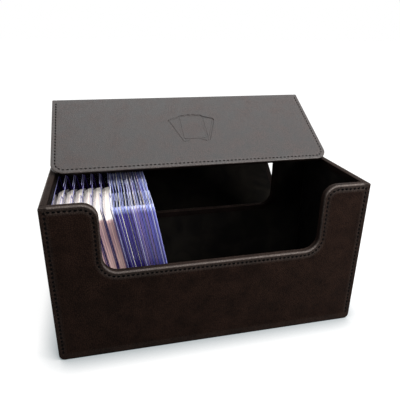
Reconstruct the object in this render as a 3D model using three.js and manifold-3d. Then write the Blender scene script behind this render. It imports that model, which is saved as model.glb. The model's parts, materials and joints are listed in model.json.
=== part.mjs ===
// Toploader storage box: an open tray of leatherette over greyboard, its front and back walls cut low
// for reaching in, and a three-panel cover that folds over it from the bottom back edge.
// The cover stands open, with the near edge of its flap resting on the rims of the side walls.
// A row of toploaders leans on the left wall of the tray.
// Frame: origin under the middle of the tray, +X to the right, +Y to the back, +Z up, millimetres.
import * as THREE from "three";
import { mergeVertices } from "three/addons/utils/BufferGeometryUtils.js";
import Module from "manifold-3d";

const wasm = await Module();
wasm.setup();

// Tray: its width, and the free room that its bay leaves round a standing toploader
const boxWidth = 224;
const bayDepthEase = 9.8;
const bayHeadroom = 6.1;
const bottomCornerRadius = 4;

// Reach-in cut-outs of the front and back walls
const cutoutDepth = 50;
const shoulderWidth = 35;
const cutoutRadius = 10.5;

// Layers of a wall, from the outside in. The leatherette goes over the edge of the board, hemWidth
// thick, and is turned in beside the lining as far as hemReach.
const skinThickness = 0.8;
const boardThickness = 2.8;
const floorBoardThickness = 6.1;
const liningThickness = 0.8;
const glueGap = 0.3;
const hemWidth = 1;
const hemReach = 4.6;
const edgeRound = 0.6;

// Layers and widths of the folding cover
const coverSkin = 0.6;
const coverBoard = 1.2;
const coverLining = 0.6;
const coverInset = 2.25;
const coverCornerRadius = 1.2;
const foldClearance = 0.3;
const lidClearance = 0.8;
const coverEase = 0.3;
const flapOverlap = 29.3;
const flapCornerRadius = 10;

// How the open cover stands
const flapSlope = THREE.MathUtils.degToRad(29.7);
const flapRestShare = 0.615;
const restGap = 0.3;

// Magnetic catch
const magnetRadius = 6;
const magnetThickness = 1;
const keeperThickness = 1.2;
const magnetSideInset = 34.75;
const magnetEndInset = 13;

// Toploaders: rigid clear sleeves, open at the top, with a thumb notch
const sleeveWidth = 76.2;
const sleeveHeight = 101.6;
const sleeveCornerRadius = 3;
const sleeveRail = 4.1;
const bottomSeal = 2.5;
const notchRadius = 9.5;
const thinSleeve = 1.63;
const thinSleeveWall = 0.4;
const thinSleeves = 14;
const thickSleeve = 5.95;
const thickSleeveWall = 0.5;
const thickSleeves = 6;
const sleeveGap = 0.3;
const sleeveLean = THREE.MathUtils.degToRad(10.3);
const sleeveFrontEase = 1.2;
const sleeveStagger = 0.5;
const staggerPhase = 5;

// Thick trading cards inside the thick sleeves
const cardSideEase = 2.25;
const cardTopDepth = 9.9;
const cardClearance = 0.3;
const cardCornerRadius = 3;

// How far a cutting tool runs past the face that it opens
const overrun = 2;

// Facets: an outline's quarter turn has twice its steps, a rolled edge and a full circle these many
const arcSteps = 4;
const sleeveArcSteps = 2;
const rollSteps = 3;
const circleSteps = 24;

// Sizes worked out from the ones above
const wallThickness = skinThickness + boardThickness + liningThickness + 2 * glueGap;
const boxDepth = sleeveWidth + bayDepthEase + 2 * wallThickness;
const floorThickness = wallThickness - boardThickness + floorBoardThickness;
const boxHeight = sleeveHeight + bayHeadroom + floorThickness;
const baseFoot = Math.max(wallThickness, bottomCornerRadius);
const pocketWidth = sleeveWidth - 2 * sleeveRail;
const cardWidth = pocketWidth - 2 * cardSideEase;
const cardHeight = sleeveHeight - bottomSeal - cardClearance - cardTopDepth;
const coverThickness = coverSkin + coverBoard + coverLining + 2 * glueGap;
const coverWidth = boxWidth - 2 * coverInset;
const foldRadius = coverThickness / 2;
const foldSetback = foldRadius + foldClearance;
const hingeHeight = wallThickness + foldClearance;
const hingeY = boxDepth / 2 + foldSetback;
const backPanelLength = boxHeight + lidClearance + foldRadius - hingeHeight;
const topPanelLength = boxDepth + 2 * foldSetback + coverEase;
const flapLength = foldRadius + lidClearance + cutoutDepth + flapOverlap;
const keeperHeight = boxHeight - cutoutDepth - flapOverlap + magnetEndInset;
const magnetX = coverWidth / 2 - magnetSideInset;
const wallEndY = boxDepth / 2 - wallThickness - glueGap;

const colours = {
  leatherette: 0x33292a,
  flapLeatherette: 0x4a4444,
  greyboard: 0x8d877c,
  suede: 0x121011,
  magnet: 0xb9bcc0,
  keeper: 0x9a9da1,
  clearPlastic: 0xa9a8e0,
  thickPlastic: 0xd9d8ec,
  card: 0xf0ebe0,
};

function material(colour, roughness, metalness = 0) {
  return new THREE.MeshStandardMaterial({ color: colour, roughness, metalness });
}

function mesh(name, geometry, surface) {
  const made = new THREE.Mesh(geometry, surface);
  made.name = name;
  return made;
}

// Booleans: a closed three.js geometry as a solid, and back
function solidOf(geometry) {
  const bare = geometry.clone();
  bare.deleteAttribute("normal");
  bare.deleteAttribute("uv");
  const merged = mergeVertices(bare);
  return new wasm.Manifold(
    new wasm.Mesh({
      numProp: 3,
      vertProperties: new Float32Array(merged.attributes.position.array),
      triVerts: new Uint32Array(merged.index.array),
    }),
  );
}

function geometryOf(solid) {
  const { vertProperties, triVerts } = solid.getMesh();
  const geometry = new THREE.BufferGeometry()
    .setAttribute("position", new THREE.BufferAttribute(vertProperties, 3))
    .setIndex(new THREE.BufferAttribute(triVerts, 1));
  geometry.computeVertexNormals();
  return geometry;
}

function cut(body, ...tools) {
  const solids = tools.map(solidOf);
  return geometryOf(solids.reduce((left, tool) => left.subtract(tool), solidOf(body)));
}

// A plate from height z up, square at its edges
function plate(shape, z, thickness) {
  return new THREE.ExtrudeGeometry(shape, {
    depth: thickness,
    bevelEnabled: false,
    curveSegments: arcSteps,
  }).translate(0, 0, z);
}

// A plate from height z up, with both of its edges rolled over to a radius
function rolledPlate(shape, z, thickness, radius) {
  return new THREE.ExtrudeGeometry(shape, {
    depth: thickness - 2 * radius,
    bevelEnabled: true,
    bevelThickness: radius,
    bevelSize: radius,
    bevelOffset: -radius,
    bevelSegments: rollSteps,
    curveSegments: arcSteps,
  }).translate(0, 0, z + radius);
}

function disc(radius, z, thickness, x, y) {
  return new THREE.CylinderGeometry(radius, radius, thickness, circleSteps)
    .rotateX(Math.PI / 2)
    .translate(x, y, z + thickness / 2);
}

// A wall with its reach-in cut-out, drawn upright and drawn in on every side by an inset.
function cutoutWall(inset) {
  const halfWidth = boxWidth / 2 - inset;
  const top = boxHeight - inset;
  const corner = Math.max(bottomCornerRadius - inset, 0);
  const sill = boxHeight - cutoutDepth - inset;
  const side = boxWidth / 2 - shoulderWidth + inset;
  const convex = cutoutRadius - inset;
  const hollow = cutoutRadius + inset;
  const shape = new THREE.Shape();
  shape.moveTo(-halfWidth + corner, inset);
  shape.lineTo(halfWidth - corner, inset);
  shape.absarc(halfWidth - corner, inset + corner, corner, -Math.PI / 2, 0, false);
  shape.lineTo(halfWidth, top);
  shape.lineTo(side + convex, top);
  shape.absarc(side + convex, top - convex, convex, Math.PI / 2, Math.PI, false);
  shape.lineTo(side, sill + hollow);
  shape.absarc(side - hollow, sill + hollow, hollow, 0, -Math.PI / 2, true);
  shape.lineTo(-side + hollow, sill);
  shape.absarc(-side + hollow, sill + hollow, hollow, -Math.PI / 2, -Math.PI, true);
  shape.lineTo(-side, top - convex);
  shape.absarc(-side - convex, top - convex, convex, 0, Math.PI / 2, false);
  shape.lineTo(-halfWidth, top);
  shape.lineTo(-halfWidth, inset + corner);
  shape.absarc(-halfWidth + corner, inset + corner, corner, Math.PI, 1.5 * Math.PI, false);
  return shape;
}

// Front or back wall: a leatherette shell turned in at its edges, its greyboard core and its lining.
// It is built lying down, inner face at z = 0, and then stood up with its outer face to the front.
function lowCutWall(side, withKeepers) {
  const boardZ = liningThickness + glueGap;
  const shell = cut(
    rolledPlate(cutoutWall(0), 0, wallThickness, edgeRound),
    plate(cutoutWall(hemWidth), liningThickness, boardThickness + 2 * glueGap),
    plate(cutoutWall(hemReach), -overrun, boardZ + overrun),
  );
  const lining = plate(cutoutWall(hemReach + glueGap), 0, liningThickness);
  let board = plate(cutoutWall(hemWidth + glueGap), boardZ, boardThickness);
  const wall = new THREE.Group();
  wall.rotation.x = Math.PI / 2;
  wall.position.y = -boxDepth / 2 + wallThickness;
  if (withKeepers) {
    const keeperZ = boardZ + boardThickness - keeperThickness;
    const places = [-magnetX, magnetX];
    board = cut(
      board,
      ...places.map((x) =>
        disc(magnetRadius + glueGap, keeperZ - glueGap, keeperThickness + overrun, x, keeperHeight),
      ),
    );
    places.forEach((x, i) => {
      const keeper = disc(magnetRadius, keeperZ, keeperThickness, x, keeperHeight);
      wall.add(mesh(i ? "right_keeper_plate" : "left_keeper_plate", keeper, surfaces.keeper));
    });
  }
  wall.add(
    mesh(side + "_wall_leatherette", shell, surfaces.leatherette),
    mesh(side + "_wall_board", board, surfaces.greyboard),
    mesh(side + "_wall_lining", lining, surfaces.suede),
  );
  return wall;
}

// Section of a side wall's leatherette: its hem, over the rim, down the side and round under the tray.
// u runs inwards from the outer face and v up from the underside.
function sideSkinSection() {
  const under = bottomCornerRadius - skinThickness;
  const liningFace = wallThickness - liningThickness;
  const section = new THREE.Shape();
  section.moveTo(baseFoot, 0);
  section.lineTo(baseFoot, skinThickness);
  section.lineTo(bottomCornerRadius, skinThickness);
  section.absarc(bottomCornerRadius, bottomCornerRadius, under, 1.5 * Math.PI, Math.PI, true);
  section.lineTo(skinThickness, boxHeight - hemWidth);
  section.lineTo(liningFace, boxHeight - hemWidth);
  section.lineTo(liningFace, boxHeight - hemReach);
  section.lineTo(wallThickness, boxHeight - hemReach);
  section.absarc(wallThickness - edgeRound, boxHeight - edgeRound, edgeRound, 0, Math.PI / 2, false);
  section.absarc(edgeRound, boxHeight - edgeRound, edgeRound, Math.PI / 2, Math.PI, false);
  section.lineTo(0, bottomCornerRadius);
  section.absarc(bottomCornerRadius, bottomCornerRadius, bottomCornerRadius, Math.PI, 1.5 * Math.PI, false);
  return section;
}

// Section of a side wall's greyboard, shaved round where it meets the bent leatherette at the bottom
function sideBoardSection() {
  const outer = skinThickness + glueGap;
  const inner = outer + boardThickness;
  const bend = bottomCornerRadius - outer;
  const reach = Math.max(bottomCornerRadius - inner, 0);
  const start = 1.5 * Math.PI - Math.asin(reach / bend);
  const section = new THREE.Shape();
  section.moveTo(inner, boxHeight - hemWidth - glueGap);
  section.lineTo(outer, boxHeight - hemWidth - glueGap);
  section.lineTo(outer, bottomCornerRadius);
  section.absarc(bottomCornerRadius, bottomCornerRadius, bend, Math.PI, start, false);
  section.lineTo(inner, bottomCornerRadius - bend * Math.cos(Math.asin(reach / bend)));
  return section;
}

// A section in u and v swept along Y between the front and back walls, as the left side of the tray
function sweptSide(section) {
  return plate(section, -wallEndY, 2 * wallEndY)
    .rotateX(Math.PI / 2)
    .translate(-boxWidth / 2, 0, 0);
}

function sideWall(side) {
  const liningTop = boxHeight - hemReach - glueGap;
  const liningFoot = floorThickness + glueGap;
  const lining = new THREE.BoxGeometry(liningThickness, 2 * wallEndY, liningTop - liningFoot);
  lining.translate(
    -boxWidth / 2 + wallThickness - liningThickness / 2,
    0,
    (liningTop + liningFoot) / 2,
  );
  const wall = new THREE.Group();
  wall.add(
    mesh(side + "_wall_leatherette", sweptSide(sideSkinSection()), surfaces.leatherette),
    mesh(side + "_wall_board", sweptSide(sideBoardSection()), surfaces.greyboard),
    mesh(side + "_wall_lining", lining, surfaces.suede),
  );
  return wall;
}

// One layer of the floor, from height z up, reaching to a distance from each side of the tray
function floorLayer(name, z, thickness, sideDistance, surface) {
  const layer = new THREE.BoxGeometry(boxWidth - 2 * sideDistance, 2 * wallEndY, thickness);
  return mesh(name, layer.translate(0, 0, z + thickness / 2), surface);
}

function tray() {
  const boardZ = skinThickness + glueGap;
  const boardSide = boardZ + boardThickness + glueGap;
  const back = new THREE.Group();
  back.rotation.z = Math.PI;
  back.add(lowCutWall("back", false), sideWall("right"));
  const made = new THREE.Group();
  made.add(
    lowCutWall("front", true),
    sideWall("left"),
    back,
    floorLayer("base_leatherette", 0, skinThickness, baseFoot + glueGap, surfaces.leatherette),
    floorLayer("floor_board", boardZ, floorBoardThickness, boardSide, surfaces.greyboard),
    floorLayer("floor_lining", floorThickness - liningThickness, liningThickness, boardSide, surfaces.suede),
  );
  return made;
}

// Outline of a cover panel between two distances from its fold, drawn in by an inset
function panelOutline(from, to, endRadius, inset) {
  const halfWidth = coverWidth / 2 - inset;
  const start = from + inset;
  const end = to - inset;
  const near = Math.max(coverCornerRadius - inset, 0);
  const far = Math.max(endRadius - inset, 0);
  const shape = new THREE.Shape();
  shape.moveTo(-halfWidth + near, start);
  shape.lineTo(halfWidth - near, start);
  shape.absarc(halfWidth - near, start + near, near, -Math.PI / 2, 0, false);
  shape.lineTo(halfWidth, end - far);
  shape.absarc(halfWidth - far, end - far, far, 0, Math.PI / 2, false);
  shape.lineTo(-halfWidth + far, end);
  shape.absarc(-halfWidth + far, end - far, far, Math.PI / 2, Math.PI, false);
  shape.lineTo(-halfWidth, start + near);
  shape.absarc(-halfWidth + near, start + near, near, Math.PI, 1.5 * Math.PI, false);
  return shape;
}

// A cover panel: leatherette turned in round a greyboard, with a lining on its inner face.
// It runs along +y from its fold, with its inner face towards +z and its middle plane at z = 0.
// Its hem lies along its sides and, on the flap, along its near edge too, but not along a fold.
function coverPanel(name, to, endRadius, magnetY) {
  const inner = -foldRadius + coverSkin + glueGap;
  const liningZ = foldRadius - coverLining;
  const reach = hemReach - hemWidth;
  const liningEnd = magnetY ? to : to + reach;
  const liningOutline = (inset) => panelOutline(foldSetback - reach, liningEnd, endRadius, inset);
  const coreOutline = (inset) => panelOutline(foldSetback, to, endRadius, inset);
  const shell = cut(
    rolledPlate(coreOutline(0), -foldRadius, coverThickness, edgeRound),
    plate(coreOutline(hemWidth), -foldRadius + coverSkin, coverBoard + 2 * glueGap),
    plate(liningOutline(hemReach), liningZ - glueGap, coverLining + glueGap + overrun),
  );
  const lining = plate(liningOutline(hemReach + glueGap), liningZ, coverLining);
  let board = plate(coreOutline(hemWidth + glueGap), inner, coverBoard);
  const panel = new THREE.Group();
  if (magnetY) {
    const places = [-magnetX, magnetX];
    const magnetZ = inner + (coverBoard - magnetThickness) / 2;
    board = cut(
      board,
      ...places.map((x) =>
        disc(magnetRadius + glueGap, inner - overrun, coverBoard + 2 * overrun, x, magnetY),
      ),
    );
    places.forEach((x, i) => {
      const magnet = disc(magnetRadius, magnetZ, magnetThickness, x, magnetY);
      panel.add(mesh(i ? "right_magnet" : "left_magnet", magnet, surfaces.magnet));
    });
  }
  panel.add(
    mesh(name + "_leatherette", shell, surfaces.flapLeatherette),
    mesh(name + "_board", board, surfaces.greyboard),
    mesh(name + "_lining", lining, surfaces.suede),
  );
  return panel;
}

// The bent leatherette of a fold, as a round bead along its axis
function foldBead(name) {
  const bead = new THREE.CylinderGeometry(foldRadius, foldRadius, coverWidth, circleSteps);
  return mesh(name, bead.rotateZ(Math.PI / 2), surfaces.leatherette);
}

// The open cover. The flap's rolled near edge rests on the side walls' rims at a set slope, which
// places the front fold, and the back fold then follows from the lengths of the other two panels.
function openCover() {
  const restY = (flapRestShare - 1 / 2) * boxDepth;
  const restZ = boxHeight + restGap + edgeRound;
  const alongFlap = flapLength - edgeRound;
  const halfCore = foldRadius - edgeRound;
  const frontFoldY = restY + alongFlap * Math.cos(flapSlope) - halfCore * Math.sin(flapSlope);
  const frontFoldZ = restZ + alongFlap * Math.sin(flapSlope) + halfCore * Math.cos(flapSlope);
  const span = Math.hypot(frontFoldY - hingeY, frontFoldZ - hingeHeight);
  const spanAngle = Math.atan2(frontFoldZ - hingeHeight, frontFoldY - hingeY);
  const atHinge = Math.acos(
    (span ** 2 + backPanelLength ** 2 - topPanelLength ** 2) / (2 * span * backPanelLength),
  );
  const atFrontFold = Math.acos(
    (span ** 2 + topPanelLength ** 2 - backPanelLength ** 2) / (2 * span * topPanelLength),
  );
  const backAngle = spanAngle - atHinge;
  const topAngle = spanAngle + atFrontFold;
  const flapAngle = Math.PI + flapSlope;

  const flap = new THREE.Group();
  flap.position.y = topPanelLength;
  flap.rotation.x = flapAngle - topAngle;
  flap.add(
    foldBead("front_fold"),
    coverPanel("front_flap", flapLength, flapCornerRadius, flapLength - magnetEndInset),
  );
  const top = new THREE.Group();
  top.position.y = backPanelLength;
  top.rotation.x = topAngle - backAngle;
  top.add(
    foldBead("back_fold"),
    coverPanel("top_cover", topPanelLength - foldSetback, coverCornerRadius, 0),
    flap,
  );
  const cover = new THREE.Group();
  cover.position.set(0, hingeY, hingeHeight);
  cover.rotation.x = backAngle;
  cover.add(
    foldBead("base_fold"),
    coverPanel("back_cover", backPanelLength - foldSetback, coverCornerRadius, 0),
    top,
  );
  return cover;
}

// Upright rounded plate for sleeves and cards, from y-z outline, thickness along x
function uprightPlate(width, height, radius, thickness) {
  const shape = new THREE.Shape();
  shape.moveTo(-width / 2 + radius, 0);
  shape.lineTo(width / 2 - radius, 0);
  shape.absarc(width / 2 - radius, radius, radius, -Math.PI / 2, 0, false);
  shape.lineTo(width / 2, height - radius);
  shape.absarc(width / 2 - radius, height - radius, radius, 0, Math.PI / 2, false);
  shape.lineTo(-width / 2 + radius, height);
  shape.absarc(-width / 2 + radius, height - radius, radius, Math.PI / 2, Math.PI, false);
  shape.lineTo(-width / 2, radius);
  shape.absarc(-width / 2 + radius, radius, radius, Math.PI, 1.5 * Math.PI, false);
  const options = { depth: thickness, bevelEnabled: false, curveSegments: sleeveArcSteps };
  return new THREE.ExtrudeGeometry(shape, options).rotateX(Math.PI / 2).rotateZ(Math.PI / 2);
}

// A rigid sleeve: a pocket open at the top, and a thumb notch through the wall on its right
function sleeveGeometry(thickness, wall) {
  const pocket = new THREE.BoxGeometry(
    thickness - 2 * wall,
    pocketWidth,
    sleeveHeight - bottomSeal + overrun,
  ).translate(thickness / 2, 0, (sleeveHeight + bottomSeal + overrun) / 2);
  const notch = new THREE.CylinderGeometry(notchRadius, notchRadius, wall + overrun, circleSteps)
    .rotateZ(Math.PI / 2)
    .translate(thickness - wall + (wall + overrun) / 2, 0, sleeveHeight);
  return cut(uprightPlate(sleeveWidth, sleeveHeight, sleeveCornerRadius, thickness), pocket, notch);
}

// The row leans on the left wall: each sleeve stands on its lower left edge and its left face lies
// along its neighbour. Its front edges are a little uneven.
function toploaderRow() {
  const row = new THREE.Group();
  const midY = -boxDepth / 2 + wallThickness + sleeveFrontEase + sleeveStagger + sleeveWidth / 2;
  const kinds = [
    { name: "thick_toploader_", count: thickSleeves, thickness: thickSleeve, wall: thickSleeveWall },
    { name: "thin_toploader_", count: thinSleeves, thickness: thinSleeve, wall: thinSleeveWall },
  ];
  let footX = -boxWidth / 2 + wallThickness + sleeveGap + sleeveHeight * Math.sin(sleeveLean);
  for (const { name, count, thickness, wall } of kinds) {
    const thick = name.startsWith("thick");
    for (let i = 0; i < count; i++) {
      const place = new THREE.Group();
      place.rotation.y = -sleeveLean;
      const stagger = sleeveStagger * Math.sin(staggerPhase * i);
      place.position.set(footX, midY + stagger, floorThickness + sleeveGap);
      const surface = thick ? surfaces.thickPlastic : surfaces.clearPlastic;
      place.add(mesh(name + (i + 1), sleeveGeometry(thickness, wall), surface));
      if (thick) {
        const cardThickness = thickness - 2 * wall - 2 * cardClearance;
        const card = uprightPlate(cardWidth, cardHeight, cardCornerRadius, cardThickness);
        card.translate(wall + cardClearance, 0, bottomSeal + cardClearance);
        place.add(mesh("thick_card_" + (i + 1), card, surfaces.card));
      }
      row.add(place);
      footX += (thickness + sleeveGap) / Math.cos(sleeveLean);
    }
  }
  return row;
}

const surfaces = {
  leatherette: material(colours.leatherette, 0.55),
  flapLeatherette: material(colours.flapLeatherette, 0.5),
  greyboard: material(colours.greyboard, 0.95),
  suede: material(colours.suede, 1),
  magnet: material(colours.magnet, 0.3, 1),
  keeper: material(colours.keeper, 0.45, 1),
  clearPlastic: material(colours.clearPlastic, 0.15),
  thickPlastic: material(colours.thickPlastic, 0.15),
  card: material(colours.card, 0.7),
};

const toploaderStorageBox = new THREE.Group();
toploaderStorageBox.add(tray(), openCover(), toploaderRow());

export default toploaderStorageBox;
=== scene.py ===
"""Looks of a toploader storage box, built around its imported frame.

The box is a tray of leatherette over greyboard. A three-panel cover stands open behind and above
it, and a row of toploaders leans on its left wall. Sizes are in millimetres and in the frame's own
axes, and become metres only where a mesh or a material is made.
"""

import json
import logging
import math
from abc import ABC, abstractmethod
from collections.abc import Callable, Sequence
from dataclasses import dataclass, field
from enum import Enum, IntEnum
from typing import Any

import bmesh
import bpy
import numpy as np
from mathutils import Matrix, Vector


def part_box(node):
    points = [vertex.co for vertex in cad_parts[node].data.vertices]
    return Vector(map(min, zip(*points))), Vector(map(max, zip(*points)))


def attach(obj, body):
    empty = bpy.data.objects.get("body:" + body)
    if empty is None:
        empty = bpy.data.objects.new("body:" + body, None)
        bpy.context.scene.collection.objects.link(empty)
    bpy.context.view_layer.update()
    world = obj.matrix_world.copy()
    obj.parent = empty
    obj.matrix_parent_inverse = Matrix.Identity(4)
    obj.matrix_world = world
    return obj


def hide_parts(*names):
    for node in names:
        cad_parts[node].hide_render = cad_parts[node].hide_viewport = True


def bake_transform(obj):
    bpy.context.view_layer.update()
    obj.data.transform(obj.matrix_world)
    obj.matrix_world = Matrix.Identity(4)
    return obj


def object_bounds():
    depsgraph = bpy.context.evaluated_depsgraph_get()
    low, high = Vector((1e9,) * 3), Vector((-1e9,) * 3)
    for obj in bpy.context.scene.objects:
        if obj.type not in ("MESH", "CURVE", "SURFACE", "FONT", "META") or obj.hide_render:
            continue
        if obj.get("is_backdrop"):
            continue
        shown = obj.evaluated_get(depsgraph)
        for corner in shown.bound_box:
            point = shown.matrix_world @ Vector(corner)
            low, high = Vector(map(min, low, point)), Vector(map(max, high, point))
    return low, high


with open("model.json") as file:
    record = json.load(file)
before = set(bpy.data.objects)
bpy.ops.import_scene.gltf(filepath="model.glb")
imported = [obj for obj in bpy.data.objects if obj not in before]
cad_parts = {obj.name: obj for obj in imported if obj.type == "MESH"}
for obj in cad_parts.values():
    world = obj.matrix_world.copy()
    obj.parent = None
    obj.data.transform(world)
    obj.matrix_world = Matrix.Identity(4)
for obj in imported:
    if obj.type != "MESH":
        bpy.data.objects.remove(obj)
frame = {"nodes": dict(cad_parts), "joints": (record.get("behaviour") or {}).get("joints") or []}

MM = 0.001
CAD_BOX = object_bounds()

log = logging.getLogger("toploader_box")

Place = Callable[[np.ndarray, np.ndarray], np.ndarray]
Share = Callable[[np.ndarray], np.ndarray]


def linear(hex_colour: str) -> tuple[float, float, float, float]:
    """Turns an sRGB hex colour to the linear values that a shader wants.

    Args:
        hex_colour: Six hex digits after a hash sign.

    Returns:
        Linear red, green and blue, with an alpha of 1.
    """
    parts = [int(hex_colour[i : i + 2], 16) / 255 for i in (1, 3, 5)]
    red, green, blue = (c / 12.92 if c <= 0.04045 else ((c + 0.055) / 1.055) ** 2.4 for c in parts)
    return red, green, blue, 1.0


def smoothstep(value: np.ndarray, low: float, high: float) -> np.ndarray:
    """Rises smoothly from 0 at low to 1 at high."""
    t = np.clip((np.asarray(value, float) - low) / (high - low), 0, 1)
    return t * t * (3 - 2 * t)


def unit(vector: np.ndarray) -> np.ndarray:
    """The vector at length 1."""
    return vector / np.linalg.norm(vector)


def run_lengths(line: np.ndarray) -> np.ndarray:
    """How far along a line each of its points lies."""
    return np.concatenate(([0.0], np.cumsum(np.linalg.norm(np.diff(line, axis=0), axis=1))))


def scale_for(feature_mm: float) -> float:
    """The scale at which a pattern's features come out so many millimetres wide."""
    return 1 / (feature_mm * MM)


def add_object(name: str, data: bpy.types.ID) -> bpy.types.Object:
    """Adds an object to the scene.

    Args:
        name: Its name.
        data: Its mesh, light or camera.

    Returns:
        The new object.
    """
    made = bpy.data.objects.new(name, data)
    bpy.context.scene.collection.objects.link(made)
    return made


def add_node(
    tree: bpy.types.NodeTree,
    kind: str,
    inputs: dict[str | int, Any] | None = None,
    output: str | None = None,
    stops: Sequence[tuple[float, str]] = (),
    **settings: Any,
) -> bpy.types.NodeSocket | None:
    """Adds a node with its settings and links.

    Args:
        tree: The node tree that gets the node.
        kind: The node's type, without ShaderNode in front.
        inputs: Values for its inputs. An output socket of another node is linked.
        output: The output that is wanted. Otherwise it is the first one in use.
        stops: Two places from 0 to 1 with their hex colours, where the node has a ramp.
        settings: The node's own properties.

    Returns:
        The output socket, or None if the node has no output.
    """
    node = tree.nodes.new(f"ShaderNode{kind}")
    for name, value in settings.items():
        setattr(node, name, value)
    for name, value in (inputs or {}).items():
        if isinstance(value, bpy.types.NodeSocket):
            tree.links.new(value, node.inputs[name])
        else:
            node.inputs[name].default_value = value
    if stops:
        for mark, (place, colour) in zip(node.color_ramp.elements, stops):
            mark.position, mark.color = place, linear(colour)
    if output:
        return node.outputs[output]
    return next((socket for socket in node.outputs if socket.enabled), None)


def seen_directly(tree: bpy.types.NodeTree) -> bpy.types.NodeSocket:
    """Tells rays that show a surface from rays that only light something.

    Args:
        tree: The node tree that asks.

    Returns:
        1 for camera, mirror and glass rays, 0 for others.
    """
    path = add_node(tree, "LightPath").node.outputs
    seen = path["Is Camera Ray"]
    for way in ("Is Glossy Ray", "Is Transmission Ray"):
        seen = add_node(tree, "Math", {0: seen, 1: path[way]}, operation="MAXIMUM")
    return seen


class Finish(ABC):
    """A finish, made as one Principled shader. Each kind works out the shader's inputs."""

    name: str

    @abstractmethod
    def surface(self, tree: bpy.types.NodeTree, place: bpy.types.NodeSocket) -> dict[str, Any]:
        """Works out the surface.

        Args:
            tree: The material's node tree.
            place: The place of a point on its own piece, in metres.

        Returns:
            The shader's inputs by name.
        """

    def material(self) -> bpy.types.Material:
        """Builds the material.

        Returns:
            The material, named for what the finish is.
        """
        material = bpy.data.materials.new(self.name)
        material.use_nodes = True
        tree = material.node_tree
        tree.nodes.clear()
        place = add_node(tree, "TexCoord", output="Object")
        shader = add_node(tree, "BsdfPrincipled", self.surface(tree, place))
        add_node(tree, "OutputMaterial", {"Surface": shader})
        return material


@dataclass(frozen=True)
class Leatherette(Finish):
    """Polyurethane leatherette: pressed pebble grain on a woven back, with a half-matt topcoat."""

    name: str
    base: str
    crevice_shade: str
    worn_and_highlit: str
    shine: float
    roughness: float
    grain_mm: float = 1.3
    fine_mm: float = 0.45
    mottle_mm: float = 13.0
    mottle_depth: float = 0.35
    drift_mm: float = 2.4
    drift_reach_mm: float = 0.9
    relief_mm: float = 0.09
    polished: float = 0.11
    dulled: float = 0.13

    def surface(self, tree: bpy.types.NodeTree, place: bpy.types.NodeSocket) -> dict[str, Any]:
        """Works out a pebbled relief with darker crevices, which are painted shade, and lighter
        places that are partly rubbing from hands and partly painted highlight.

        Args:
            tree: The material's node tree.
            place: The place of a point on its own piece, in metres.

        Returns:
            The shader's inputs by name.
        """
        # Real grain is about 0.6 mm wide, too fine to show, so the pebbles are drawn twice as wide
        drift = add_node(
            tree,
            "TexNoise",
            {"Vector": place, "Scale": scale_for(self.drift_mm), "Detail": 1.0},
            output="Color",
        )
        bent = add_node(
            tree,
            "VectorMath",
            {0: drift, 1: (self.drift_reach_mm * MM,) * 3, 2: place},
            operation="MULTIPLY_ADD",
        )
        pebbles = add_node(
            tree,
            "TexVoronoi",
            {"Vector": bent, "Scale": scale_for(self.grain_mm), "Randomness": 0.95},
            feature="DISTANCE_TO_EDGE",
        )
        rounded = add_node(
            tree, "MapRange", {"Value": pebbles, "From Max": 0.28}, interpolation_type="SMOOTHSTEP"
        )
        fine, mottle = (
            add_node(
                tree,
                "TexNoise",
                {"Vector": place, "Scale": scale_for(size), "Detail": detail, "Roughness": rough},
            )
            for size, detail, rough in ((self.fine_mm, 2.0, 0.6), (self.mottle_mm, 4.0, 0.62))
        )
        height = add_node(tree, "Math", {0: fine, 1: 0.35, 2: rounded}, operation="MULTIPLY_ADD")
        swelled = add_node(tree, "Math", {0: mottle, 1: 1.6, 2: height}, operation="MULTIPLY_ADD")
        relief = add_node(
            tree, "Bump", {"Strength": 0.6, "Distance": self.relief_mm * MM, "Height": swelled}
        )
        # Painted shade: the crevices between pebbles are darker
        grained = add_node(
            tree, "ValToRGB", {"Fac": rounded}, stops=[(0.0, self.crevice_shade), (0.7, self.base)]
        )
        blotch = add_node(
            tree,
            "MapRange",
            {
                "Value": mottle,
                "From Min": 0.35,
                "From Max": 0.68,
                "To Min": 1 - self.mottle_depth,
                "To Max": 1 + self.mottle_depth,
            },
        )
        toned = add_node(tree, "VectorMath", {0: grained, "Scale": blotch}, operation="SCALE")
        # Painted highlight: the tops of the pebbles take the lighter colour first, as glints of
        # light, over the rubbing that hands leave
        tops = add_node(tree, "Math", {0: rounded, 1: fine}, operation="MULTIPLY")
        glints = add_node(
            tree,
            "MapRange",
            {"Value": tops, "From Min": 0.18, "From Max": 0.58, "To Min": 0.42, "To Max": 0.82},
            interpolation_type="SMOOTHSTEP",
        )
        # This attribute carries rubbing from hands together with a painted highlight along the rims
        rubbed_and_highlit = add_node(tree, "Attribute", output="Fac", attribute_name="wear")
        rub_and_glints = add_node(tree, "Math", {0: rubbed_and_highlit, 1: glints}, operation="MULTIPLY")
        colour = add_node(
            tree, "Mix", {"Factor": rub_and_glints, "A": toned, "B": linear(self.worn_and_highlit)}, data_type="RGBA"
        )
        matting = add_node(
            tree,
            "MapRange",
            {
                "Value": mottle,
                "From Min": 0.3,
                "From Max": 0.7,
                "To Min": self.roughness - self.polished,
                "To Max": self.roughness + self.dulled,
            },
        )
        return {
            "Base Color": colour,
            "Roughness": matting,
            "Specular IOR Level": self.shine,
            "Normal": relief,
        }


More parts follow.
